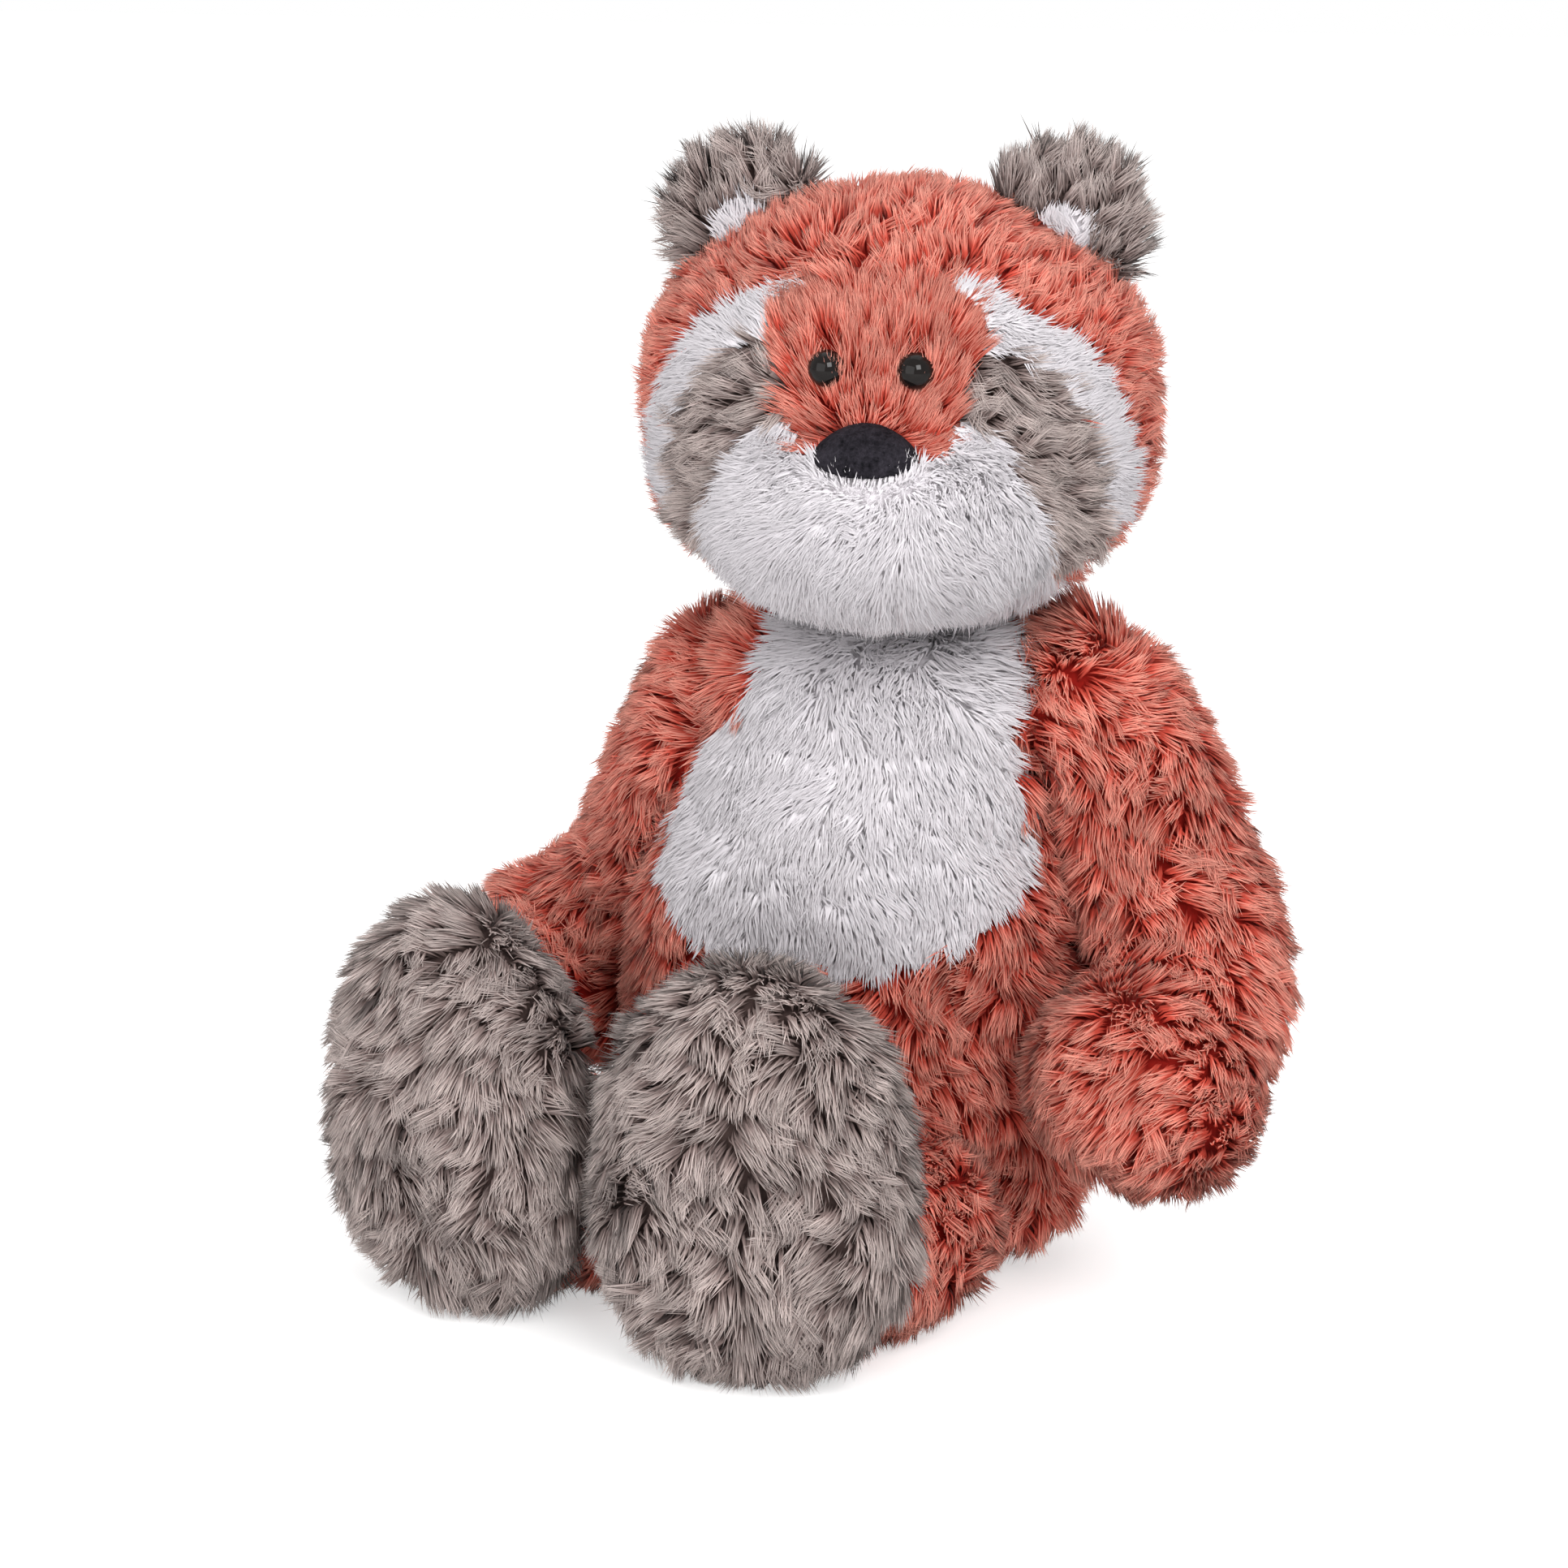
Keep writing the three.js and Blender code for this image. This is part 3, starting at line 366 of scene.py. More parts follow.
# %% [markdown]
# ## The plan of the toy
# The sizes repeat those of the frame's solids: body, head, ears, arms, legs, feet and tail, in millimetres.
# Only the arms start deeper in the body, so that a raised arm shows no bare edge of its coat. The body
# slumps, so the neck sits in front of the seat and a little to the toy's own left. Each form is a list of
# points for its middle line, then rows of share of its length, half-width and half-depth.

# %% Body and head
TORSO_HEIGHT, NECK_FORWARD, NECK_ASIDE = 186, 23, 10
BELLY, SEAT, SHOULDER = (64, 46), (61, 42), (44, 33)
FLOOR_FLAT = 0.5
torso = Form(
    [
        (0, 0, -FLOOR_FLAT), (0, -0.1 * NECK_FORWARD, 0.25 * TORSO_HEIGHT),
        (0.1 * NECK_ASIDE, -0.4 * NECK_FORWARD, 0.5 * TORSO_HEIGHT),
        (0.6 * NECK_ASIDE, -0.8 * NECK_FORWARD, 0.78 * TORSO_HEIGHT),
        (NECK_ASIDE, -NECK_FORWARD, TORSO_HEIGHT),
    ],
    [
        (0, *SEAT), (0.16, 0.96 * BELLY[0], 0.95 * BELLY[1]), (0.4, *BELLY),
        (0.58, 0.95 * BELLY[0], 0.97 * BELLY[1]), (0.76, 1.1 * SHOULDER[0], 1.2 * SHOULDER[1]),
        (0.9, *SHOULDER), (1, 0.9 * SHOULDER[0], 0.85 * SHOULDER[1]),
    ],
    (0.13 * TORSO_HEIGHT, 0.12 * TORSO_HEIGHT),
    blunt=2.3,
)

HEAD_HEIGHT, HEAD, HEAD_SINK = 110, (66, 58), 4
HEAD_BASE = TORSO_HEIGHT - HEAD_SINK
neck = np.array([NECK_ASIDE, -NECK_FORWARD, HEAD_BASE])
head_middle = np.array([1.15 * NECK_ASIDE, -NECK_FORWARD, HEAD_BASE + HEAD_HEIGHT / 2])
skull = Form(
    [
        (head_middle[0], head_middle[1] + 0.03 * HEAD[1], HEAD_BASE),
        head_middle,
        (head_middle[0], head_middle[1] - 0.02 * HEAD[1], HEAD_BASE + HEAD_HEIGHT),
    ],
    [
        (0, 0.8 * HEAD[0], 0.84 * HEAD[1]), (0.25, 0.94 * HEAD[0], 0.97 * HEAD[1]), (0.5, *HEAD),
        (0.75, 0.94 * HEAD[0], 0.97 * HEAD[1]), (1, 0.8 * HEAD[0], 0.86 * HEAD[1]),
    ],
    (0.31 * HEAD_HEIGHT, 0.42 * HEAD_HEIGHT),
    blunt=2.2,
)
MUZZLE, MUZZLE_REACH, MUZZLE_BELOW = (46, 29), 12.5, 20.5
face_front = head_middle[1] - HEAD[1]
muzzle_level = head_middle[2] - MUZZLE_BELOW
snout = Form(
    [
        (head_middle[0], head_middle[1] - 0.14 * HEAD[1], muzzle_level),
        (head_middle[0], face_front + 0.35 * HEAD[1], muzzle_level),
        (head_middle[0], face_front - MUZZLE_REACH, muzzle_level),
    ],
    [(0, *MUZZLE), (0.6, 0.98 * MUZZLE[0], MUZZLE[1]), (1, 0.8 * MUZZLE[0], 0.86 * MUZZLE[1])],
    (0.26 * MUZZLE[0], 0.65 * MUZZLE[0]),
    blunt=2.2,
)
print("head from", HEAD_BASE, "to", HEAD_BASE + HEAD_HEIGHT, "mm")

# %% Ears and arms
SIDES = {"left": 1, "right": -1}
EAR_RADIUS, EAR_HALF_THICKNESS, EAR_SPACING = 20.5, 9.5, 78
EAR_BACK, EAR_BELOW_TOP = 5, 13
ears, ear_lean, ear_middle = {}, {}, {}
for side, sign in SIDES.items():
    ear_middle[side] = head_middle + [sign * EAR_SPACING / 2, EAR_BACK, HEAD_HEIGHT / 2 - EAR_BELOW_TOP]
    ear_lean[side] = unit(np.array([sign * 0.4, 0, 0.92]))
    ears[side] = Form(
        [ear_middle[side] + share * EAR_RADIUS * ear_lean[side] for share in (-1, 0, 1)],
        [(0, EAR_RADIUS, EAR_HALF_THICKNESS), (1, EAR_RADIUS, EAR_HALF_THICKNESS)],
        (EAR_RADIUS, EAR_RADIUS),
    )

ARM_ROOT, ARM_START, ARM_REACH, ELBOW, PAW = 22, 16, 110, 28, 34
ROOT_BELOW_TOP = 23
SHOULDERS = {
    "left": neck + [0.91 * SHOULDER[0], 0.15 * SHOULDER[1], TORSO_HEIGHT - ROOT_BELOW_TOP - neck[2]],
    "right": neck + [-0.93 * SHOULDER[0], 0.4 * SHOULDER[1], TORSO_HEIGHT - 1.15 * ROOT_BELOW_TOP - neck[2]],
}
ARM_STEPS = {
    "left": [(0.14, 0.02, -0.13), (0.24, 0.04, -0.4), (0.335, -0.05, -0.68), (0.165, -0.49, -0.98)],
    "right": [(-0.13, 0.11, -0.29), (-0.24, 0.27, -0.56), (-0.45, 0.33, -0.8), (-0.66, 0.27, -0.95)],
}
arms = {}
for side, steps in ARM_STEPS.items():
    shoulder, steps = SHOULDERS[side], np.array(steps)
    arms[side] = Form(
        [shoulder - ARM_START * unit(steps[0]), shoulder, *(shoulder + ARM_REACH * steps)],
        [
            (0, ARM_ROOT, ARM_ROOT), (0.2, 1.12 * ARM_ROOT, 1.12 * ARM_ROOT),
            (0.45, 0.96 * ELBOW, 0.96 * ELBOW), (0.7, ELBOW, ELBOW), (0.9, PAW, PAW), (1, PAW, PAW),
        ],
        (0.6 * ARM_ROOT, PAW),
        across=(0, 1, 0),
    )
print("arms", *(f"{side} {arm.length:.0f} mm" for side, arm in arms.items()))

# %% Legs, feet and tail
HIP, LEG, LEG_REACH = 23, 28, 76
HIPS = {
    "left": np.array([0.52 * SEAT[0], -0.67 * SEAT[1], LEG]),
    "right": np.array([-0.69 * SEAT[0], -0.48 * SEAT[1], LEG]),
}
FOOT_HEIGHT, FOOT = 111, (43, 27)
FEET = {"left": (LEG_REACH, 38, 8), "right": (0.83 * LEG_REACH, 62, 32)}  # reach, aim and facing
legs, feet, foot_middle, sole_way = {}, {}, {}, {}


def ahead(degrees):
    """The level direction this far round from straight ahead towards the toy's right."""
    return np.array([-math.sin(math.radians(degrees)), -math.cos(math.radians(degrees)), 0])


for side, (reach, aim, facing) in FEET.items():
    shares = np.array([0.3, 0.65, 1])[:, None]
    drop = np.array([0, 0, -FLOOR_FLAT])
    legs[side] = Form(
        [HIPS[side], *(HIPS[side] + drop + shares * reach * ahead(aim))],
        [(0, 0.95 * HIP, 0.95 * HIP), (0.4, LEG, LEG), (1, LEG, LEG)],
        (0.6 * HIP, LEG),
        across=(0, 0, 1),
    )
    middle = (HIPS[side] + reach * ahead(aim)) * [1, 1, 0]
    foot_middle[side], sole_way[side] = middle, ahead(facing)
    feet[side] = Form(
        [middle + [0, 0, height] for height in (-FLOOR_FLAT, 0.5 * FOOT_HEIGHT, FOOT_HEIGHT)],
        [
            (0, 0.8 * FOOT[0], 0.85 * FOOT[1]), (0.35, *FOOT), (0.6, 0.95 * FOOT[0], 0.97 * FOOT[1]),
            (0.85, 0.78 * FOOT[0], 0.85 * FOOT[1]), (1, 0.6 * FOOT[0], 0.75 * FOOT[1]),
        ],
        (0.28 * FOOT_HEIGHT, 0.3 * FOOT_HEIGHT),
        across=np.cross([0, 0, 1], ahead(facing)),
        blunt=2.2,
    )

TAIL_RADIUS, TAIL_ROOT_RADIUS, TAIL_REACH = 23, 17, 88
TAIL_ROOT = np.array([-0.17 * TAIL_RADIUS, 0.93 * SEAT[1], TAIL_RADIUS])
TAIL_STEPS = np.array([(-0.05, 0.27, 0), (-0.23, 0.57, 0), (-0.57, 0.77, 0), (-1, 0.82, 0)])
tail = Form(
    [TAIL_ROOT, *(TAIL_ROOT + TAIL_REACH * TAIL_STEPS - [0, 0, FLOOR_FLAT])],
    [
        (0, 0.95 * TAIL_ROOT_RADIUS, 0.95 * TAIL_ROOT_RADIUS), (0.4, TAIL_RADIUS, TAIL_RADIUS),
        (0.75, TAIL_RADIUS, TAIL_RADIUS), (1, 0.7 * TAIL_RADIUS, 0.7 * TAIL_RADIUS),
    ],
    (0.6 * TAIL_ROOT_RADIUS, 1.3 * TAIL_RADIUS),
    across=(0, 0, 1),
)
print("tail", f"{tail.length:.0f} mm")

# %% [markdown]
# ## Seams
# The face is sewn from panels of three colours. Each seam is a smooth closed line drawn on the front view,
# and a point of the pile belongs to the first panel whose line goes round it.


# %% Seam lines
def closed_line(corners, steps=8):
    """A smooth closed line through the corners, as in centre_line, with its ends joined."""
    corners = np.asarray(corners, float)
    wrapped = np.vstack([corners[-2:], corners, corners[:3]])
    line = centre_line(np.column_stack([wrapped, np.zeros(len(wrapped))]), steps)
    return line[2 * steps : (2 + len(corners)) * steps, :2]


def within(x, z, line):
    """Whether points lie inside a closed line: a ray to the right crosses it an odd number of times."""
    inside = np.zeros(np.shape(x), bool)
    for (x0, z0), (x1, z1) in zip(line, np.roll(line, -1, axis=0)):
        crosses = (z0 > z) != (z1 > z)
        inside ^= crosses & (x < x0 + (z - z0) * (x1 - x0) / (z1 - z0 if z1 != z0 else 1e-9))
    return inside


def whole(edge):
    """A closed line from its half on the toy's left: the half and its mirror image."""
    inner = [(x, z) for x, z in edge if x > 0]
    return closed_line([edge[0], *inner, edge[-1], *((-x, z) for x, z in reversed(inner))])


# The face's seams run from the head's middle, in shares of its half-width and half-height.
GUSSET = whole([
    (0, 0.67), (0.3, 0.64), (0.41, 0.47), (0.35, 0.29), (0.31, 0.1), (0.31, 0.04), (0.26, -0.01), (0, -0.05),
])
BROW = closed_line([
    (0.27, 0.67), (0.52, 0.55), (0.73, 0.38), (0.87, 0.11), (0.92, -0.22), (0.9, -0.44),
    (0.83, -0.49), (0.81, -0.13), (0.67, 0.22), (0.47, 0.4), (0.29, 0.38),
])
CHEEK = closed_line([
    (0.27, 0.35), (0.47, 0.4), (0.67, 0.22), (0.81, -0.13), (0.87, -0.48),
    (0.74, -0.68), (0.55, -0.65), (0.55, -0.18), (0.27, 0.04),
])
MUZZLE_SEAM = whole([
    (0, -0.05), (0.26, -0.01), (0.33, 0.07), (0.44, 0.02), (0.56, -0.16),
    (0.65, -0.4), (0.64, -0.69), (0.55, -1.09), (0, -1.45),
])
FACE_BACK = -0.1  # the face's panels end here, in half-depths of the head behind its middle
# The white front's seam is in shares of the belly's half-width and the body's height.
TUMMY = closed_line([
    (-0.22, 1.03), (0.16, 1.07), (0.62, 1.04), (0.67, 0.95), (0.67, 0.86), (0.73, 0.74), (0.75, 0.65),
    (0.56, 0.57), (0, 0.51), (-0.59, 0.53), (-0.78, 0.62), (-0.73, 0.69), (-0.59, 0.8), (-0.37, 0.9),
    (-0.27, 0.97),
])
TUMMY_BACK = -0.35  # and the front ends here, in half-depths of the belly
print("points on a seam:", *(len(line) for line in (GUSSET, BROW, CHEEK, MUZZLE_SEAM, TUMMY)))


def head_panel(points):
    """The panel of each point of the head, as a number: 0 crown, then the face's panels."""
    offset = points - head_middle
    x, z = offset[:, 0] / HEAD[0], offset[:, 2] / (HEAD_HEIGHT / 2)
    panel = np.zeros(len(points), int)
    seams = (CHEEK, -1), (BROW, -1), (CHEEK, 1), (BROW, 1), (GUSSET, 1), (MUZZLE_SEAM, 1)
    for number, (line, sign) in zip(range(len(seams), 0, -1), seams):
        panel[within(sign * x, z, line)] = number
    panel[offset[:, 1] > FACE_BACK * HEAD[1]] = 0
    return panel


def torso_panel(points):
    """0 for the body's rust cloth, 1 for the white front."""
    sewn = within(points[:, 0] / BELLY[0], points[:, 2] / TORSO_HEIGHT, TUMMY)
    return (sewn & (points[:, 1] < TUMMY_BACK * BELLY[1])).astype(int)


# %% [markdown]
# ## Fur
# Long-pile cloth has a backing that fibres stand on, and the fibres gather into pointed tufts that lean with
# the comb. Hair systems are lost when a model leaves Blender, so every bundle of fibres is a thin spindle of
# six triangles: a root, three corners at its bend and a tip. Its colour runs from a dark root, painted shade
# for the depth of the pile, to a tip that is partly paler fibre and partly painted light, through the piece's
# own UV map, whose other direction picks a lighter or darker dye, so that one small picture can hold a whole
# coat.


# %% Nearest tuft and slow swirls
def nearest(points, centres):
    """Index of the nearest centre of each point."""
    found = np.empty(len(points), int)
    sizes = (centres**2).sum(1)
    for start in range(0, len(points), BATCH):
        part = points[start : start + BATCH]
        found[start : start + BATCH] = (sizes - 2 * part @ centres.T).argmin(1)
    return found


# Nine sine waves in space, 26 to 60 mm long.
WAVES = unit(rng.normal(size=(9, 3))) * (2 * np.pi / rng.uniform(26, 60, (9, 1)))
PHASES = rng.uniform(0, 2 * np.pi, 9)


def swirl(points, start=0):
    """A slow random number of about -1 to 1 at each point: the sum of some sine waves in space."""
    return np.sin(points @ WAVES[start : start + 4].T + PHASES[start : start + 4]).sum(1) / 2.2


COLUMNS, ROWS = 72, 48  # cells of the grid over a form, round it and along it


def sampled(form, density):
    """Places spread evenly over a form: cells of a grid drawn by their area, then a point in each cell."""
    columns, rows = COLUMNS, ROWS
    u, v = np.meshgrid(np.arange(columns + 1) / columns, np.arange(rows + 1) / rows)
    grid = form.place(u, v)
    one, two = grid[1:, 1:] - grid[:-1, :-1], grid[1:, :-1] - grid[:-1, 1:]
    area = np.linalg.norm(np.cross(one, two), axis=-1).ravel() / 2
    cell = rng.choice(area.size, int(area.sum() * density), p=area / area.sum())
    u = (cell % columns + rng.random(cell.size)) / columns
    return u, (cell // columns + rng.random(cell.size)) / rows


# %% Kinds of pile
class Pile:
    """How a cloth's pile looks, in millimetres and radians.

    Its backing lies `inset` under the surface where the tips end. A lock rises by `height`, leans by `reach`
    and is `radius` thick. `tuft` locks stand together and draw their tips in by `gather`; `wander` turns the
    comb slowly over the cloth, `twist` turns it from tuft to tuft, `fray` scatters the tips and `density` is
    locks per square millimetre. `roundness` is how far a tuft is lit as a bundle of its own. The last number
    is where on the colour map the cloth lies, from its dark edge at 0 to its light one at 1: the cloth's own
    dye, with painted light and shade that make the crown lighter and the face and ears darker.
    """

    def __init__(self, height, reach, radius, tuft, gather, wander, twist, fray, density, roundness,
                 inset=6.5, dye_and_painted_light=0.5):
        self.height, self.reach, self.radius, self.tuft, self.gather = height, reach, radius, tuft, gather
        self.wander, self.twist, self.fray, self.density = wander, twist, fray, density
        self.roundness, self.inset, self.dye_and_painted_light = roundness, inset, dye_and_painted_light


# Painted light and shade: the crown's pile lies lighter on the colour map, and the face's and ears' darker,
# than the rest of their cloth, as light falls on them.
BODY_PILE = Pile(6.5, 7.4, 0.32, 26, 0.52, 0.9, 0.5, 0.4, 1.05, 0.6)
CROWN_PILE = Pile(6.3, 5.5, 0.29, 18, 0.5, 0.8, 0.5, 0.4, 1.25, 0.5, dye_and_painted_light=0.56)
FACE_PILE = Pile(5.8, 7.0, 0.21, 40, 0.45, 0.3, 0.25, 0.4, 2.8, 0.5, dye_and_painted_light=0.36)
CHEEK_PILE = Pile(6.4, 6.5, 0.23, 30, 0.5, 0.6, 0.6, 0.6, 2.2, 0.6)
FOOT_PILE = Pile(6.5, 8.0, 0.31, 38, 0.55, 0.9, 0.5, 0.45, 1.18, 0.7, dye_and_painted_light=0.52)
EAR_PILE = Pile(7.2, 7.5, 0.24, 26, 0.6, 0.5, 0.5, 0.5, 2.0, 0.6, inset=5.0, dye_and_painted_light=0.3)
WHITE_PILE = Pile(5.5, 4.5, 0.36, 40, 0.14, 0.4, 0.3, 0.4, 1.8, 0.05, inset=5.2)
MUZZLE_PILE = Pile(5.2, 4.0, 0.27, 44, 0.12, 0.7, 0.3, 0.8, 2.7, 0.05, inset=5.2)
EAR_WHITE_PILE = Pile(5.0, 4.5, 0.24, 30, 0.3, 0.4, 0.3, 0.5, 2.0, 0.15, inset=5.0)

# A lock's corners are its root 0, the three 1, 2 and 3 of its bend, and its tip 4.
LOCK_FACES = np.array([(0, 1, 2), (0, 2, 3), (0, 3, 1), (4, 2, 1), (4, 3, 2), (4, 1, 3)])
# In the colour map a face runs from root or tip, in its middle, to both sides of the bend.
BEND = 0.38  # how far along a lock its bend is
LOCK_SIDES = np.array([(0.5, 0, 1)] * 6)
LOCK_RISE = np.array([(0.04, BEND, BEND)] * 3 + [(1.0, BEND, BEND)] * 3)
DYE_WIDTH = 0.012  # how much of the colour map's width one lock takes
UPRIGHT = 0.45  # where the comb runs along the cloth by less than this, the pile leans less
KNEE = 0.66, 0.18  # where the curve's middle handle stands, in shares of a lock's height and reach
TUFT_SPAN = 14  # how far from its tuft's tip a tip can be and still be drawn to it
OFF_FLOOR = 0.25  # how far the pile stays off the paper


# %% Locks
def turned(vectors, normal, angle):
    """Tangent vectors turned round their normals: v cos(a) + (n x v) sin(a)."""
    return vectors * np.cos(angle)[:, None] + np.cross(normal, vectors) * np.sin(angle)[:, None]


def locks(root, normal, comb, pile, short):
    """Corners, triangles, colour map and lighting of the locks on these roots.

    A lock is a thin spindle of two straight halves on a quadratic curve: it leaves the root near the normal,
    bends into the comb, and its tip is drawn towards the tip of its tuft. It is lit as the cloth under it is,
    leaning a little towards its own tip and away from the middle of its tuft.
    """
    count = len(root)
    flow = comb - (comb * normal).sum(1, keepdims=True) * normal
    flow /= np.maximum(np.linalg.norm(flow, axis=1, keepdims=True), UPRIGHT)
    seeds = rng.choice(count, max(count // pile.tuft, 1), replace=False)
    tuft = nearest(root, root[seeds])
    of_tuft = rng.normal(size=(len(seeds), 4))
    angle = pile.wander * swirl(root) + pile.twist * of_tuft[tuft, 0] + 0.18 * rng.normal(size=count)
    flow = turned(flow, normal, angle)
    height = pile.height * short * (1 + 0.14 * of_tuft[tuft, 1] + 0.08 * rng.normal(size=count))
    reach = pile.reach * short * (1 + 0.15 * of_tuft[tuft, 2] + 0.15 * rng.normal(size=count))
    tip = root + normal * height[:, None] + flow * reach[:, None]
    lead = tip[seeds][tuft]
    near = np.clip(1 - np.linalg.norm(lead - tip, axis=1) / TUFT_SPAN, 0, 1)
    tip = tip + (lead - tip) * (pile.gather * near)[:, None] + pile.fray * rng.normal(size=(count, 3))
    knee = root + normal * (KNEE[0] * height)[:, None] + flow * (KNEE[1] * reach)[:, None]
    bend = (1 - BEND) ** 2 * root + 2 * BEND * (1 - BEND) * knee + BEND**2 * tip
    side = unit(np.cross(tip - root, normal))
    up = unit(np.cross(side, tip - root))
    phase = rng.uniform(0, 2 * np.pi, count)
    radius = pile.radius * (1 + 0.2 * rng.normal(size=count)).clip(0.5, 1.6)
    corners = np.empty((count, 5, 3))
    corners[:, 0], corners[:, 4] = root, tip
    for k in range(3):
        turn = phase + 2 * np.pi * k / 3
        around = (np.cos(turn) * radius)[:, None] * side, (np.sin(turn) * radius)[:, None] * up
        corners[:, 1 + k] = bend + around[0] + around[1]
    corners[:, :, 2] = np.maximum(corners[:, :, 2], OFF_FLOOR)
    faces = LOCK_FACES[None] + 5 * np.arange(count)[:, None, None]
    tuft_radius = math.sqrt(pile.tuft / pile.density / np.pi)
    aside = np.clip((root - root[seeds][tuft]) / tuft_radius, -1, 1)
    lit = normal + 0.3 * unit(tip - root) + pile.roundness * (aside + 0.3 * rng.normal(size=(count, 3)))
    # Painted shade: locks at the edge of a tuft are dyed darker, and those at its middle lighter, for the
    # shaded gaps between tufts.
    tuft_edge_shade = (aside**2).sum(1) - 0.5
    dye = pile.dye_and_painted_light + 0.14 * of_tuft[tuft, 3] + 0.14 * rng.normal(size=count)
    dye = dye + 0.1 * swirl(root, 5) - 0.2 * tuft_edge_shade
    dye = np.clip(dye, 0.02, 0.96)[:, None, None] + DYE_WIDTH * LOCK_SIDES[None]
    rise = np.broadcast_to(LOCK_RISE, dye.shape)
    return (
        corners.reshape(-1, 3),
        faces.reshape(-1, 3),
        np.stack([dye, rise], -1).reshape(-1, 2),
        np.repeat(unit(lit)[:, None], 5, axis=1).reshape(-1, 3),
    )


# %% The backing cloth under a pile
CLOTH = 1.0  # its thickness
CLOTH_DYE = 0.45  # where on the colour map it lies
CLOTH_OFF_FLOOR = 0.3


def backing(form, chosen, inset):
    """A cloth over the cells of a form's grid that `chosen` keeps: outer layer, inner layer and the edge.

    Where every cell is kept the outer layer alone is closed, so the inner one is left out.
    """
    columns, rows = COLUMNS, ROWS
    u, v = np.meshgrid(np.arange(columns) / columns, np.arange(rows + 1) / rows)
    outer, normal, _ = form.skin(u, v, inset)
    outer[0], outer[-1] = outer[0].mean(0), outer[-1].mean(0)
    row, column = (a.ravel() for a in np.mgrid[0:rows, 0:columns])
    after = (column + 1) % columns
    ring, next_ring = row * columns, (row + 1) * columns
    quads = np.stack([ring + column, ring + after, next_ring + after, next_ring + column], 1)
    keep = chosen(outer.reshape(-1, 3)[quads].mean(1))
    quads = quads[keep]
    triangles = np.vstack([quads[:, [0, 1, 2]], quads[:, [0, 2, 3]]])
    points = outer.reshape(-1, 3)
    if not keep.all():
        inner = (outer - CLOTH * normal).reshape(-1, 3)
        edges = np.vstack([quads[:, [i, (i + 1) % 4]] for i in range(4)])
        key = np.sort(edges, 1) @ [len(points), 1]
        _, first, times = np.unique(key, return_index=True, return_counts=True)
        rim = edges[first[times == 1]]
        size = len(points)
        start, end = rim[:, 0], rim[:, 1]
        near_half, far_half = (end, start, start + size), (end, start + size, end + size)
        walls = [np.stack(half, 1) for half in (near_half, far_half)]
        triangles = np.vstack([triangles, triangles[:, ::-1] + size, *walls])
        points = np.vstack([points, inner])
    points = points.copy()
    points[:, 2] = np.maximum(points[:, 2], CLOTH_OFF_FLOOR)
    corner = points[triangles]
    solid = np.linalg.norm(np.cross(corner[:, 1] - corner[:, 0], corner[:, 2] - corner[:, 0]), axis=1) > 1e-6
    triangles = triangles[solid]
    used, packed = np.unique(triangles, return_inverse=True)
    middle = np.clip(CLOTH_DYE + 0.12 * swirl(points[triangles].mean(1), 5), 0.02, 0.9)
    dye = middle[:, None] + np.array([0, 0.02, 0.02])
    # A rise near 0 gives the backing its pile's root colour: painted shade under the rust and grey pile,
    # painted light under the white.
    rise = np.broadcast_to([0.0, 0.0, 0.035], dye.shape)
    lit = np.vstack([normal.reshape(-1, 3)] * (len(points) // normal[..., 0].size))[used]
    return points[used], packed.reshape(-1, 3), np.stack([dye, rise], -1).reshape(-1, 2), lit


# %% A piece from its parts
def piece(name, parts, finish, body, nodes):
    """Joins parts into one object that rides on a body of the frame.

    A part is its corners, triangles and colour map, and perhaps the directions in which its corners are lit.
    """
    first = np.cumsum([0] + [len(part[0]) for part in parts])
    corners = np.vstack([part[0] for part in parts]) * MM
    faces = np.vstack([part[1] + start for part, start in zip(parts, first)]).astype(np.int32)
    mesh = bpy.data.meshes.new(name)
    mesh.vertices.add(len(corners))
    mesh.vertices.foreach_set("co", corners.astype(np.float32).ravel())
    mesh.loops.add(faces.size)
    mesh.loops.foreach_set("vertex_index", faces.ravel())
    mesh.polygons.add(len(faces))
    mesh.polygons.foreach_set("loop_start", np.arange(0, faces.size, 3, dtype=np.int32))
    mesh.polygons.foreach_set("loop_total", np.full(len(faces), 3, np.int32))
    if parts[0][2] is not None:
        layer = mesh.uv_layers.new(name="OFBake")
        layer.data.foreach_set("uv", np.vstack([part[2] for part in parts]).astype(np.float32).ravel())
    mesh.update(calc_edges=True)
    mesh.polygons.foreach_set("use_smooth", np.ones(len(faces), bool))
    if len(parts[0]) == 4:
        mesh.normals_split_custom_set_from_vertices(np.vstack([part[3] for part in parts]).astype(np.float32))
    mesh.materials.append(finish.material)
    thing = linked(name, mesh)
    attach(thing, body)
    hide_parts(*nodes)
    print(f"{name}: {len(faces)} triangles")
    return thing


# %% [markdown]
# ## Dyes, with painted shade and light
# The rust and grey pile is painted darker near the backing, as painted shade where light doesn't reach, and
# paler at the fine tips, partly the fibres' own colour and partly painted light. The white pile is painted
# the other way round, lighter at the root, as painted light for the light that is scattered from fibre to
# fibre into its depths. Each colour runs from root to tip along the lock, and the other direction of the map
# shifts the dye from tuft to tuft, with painted shade at the edges of each tuft.


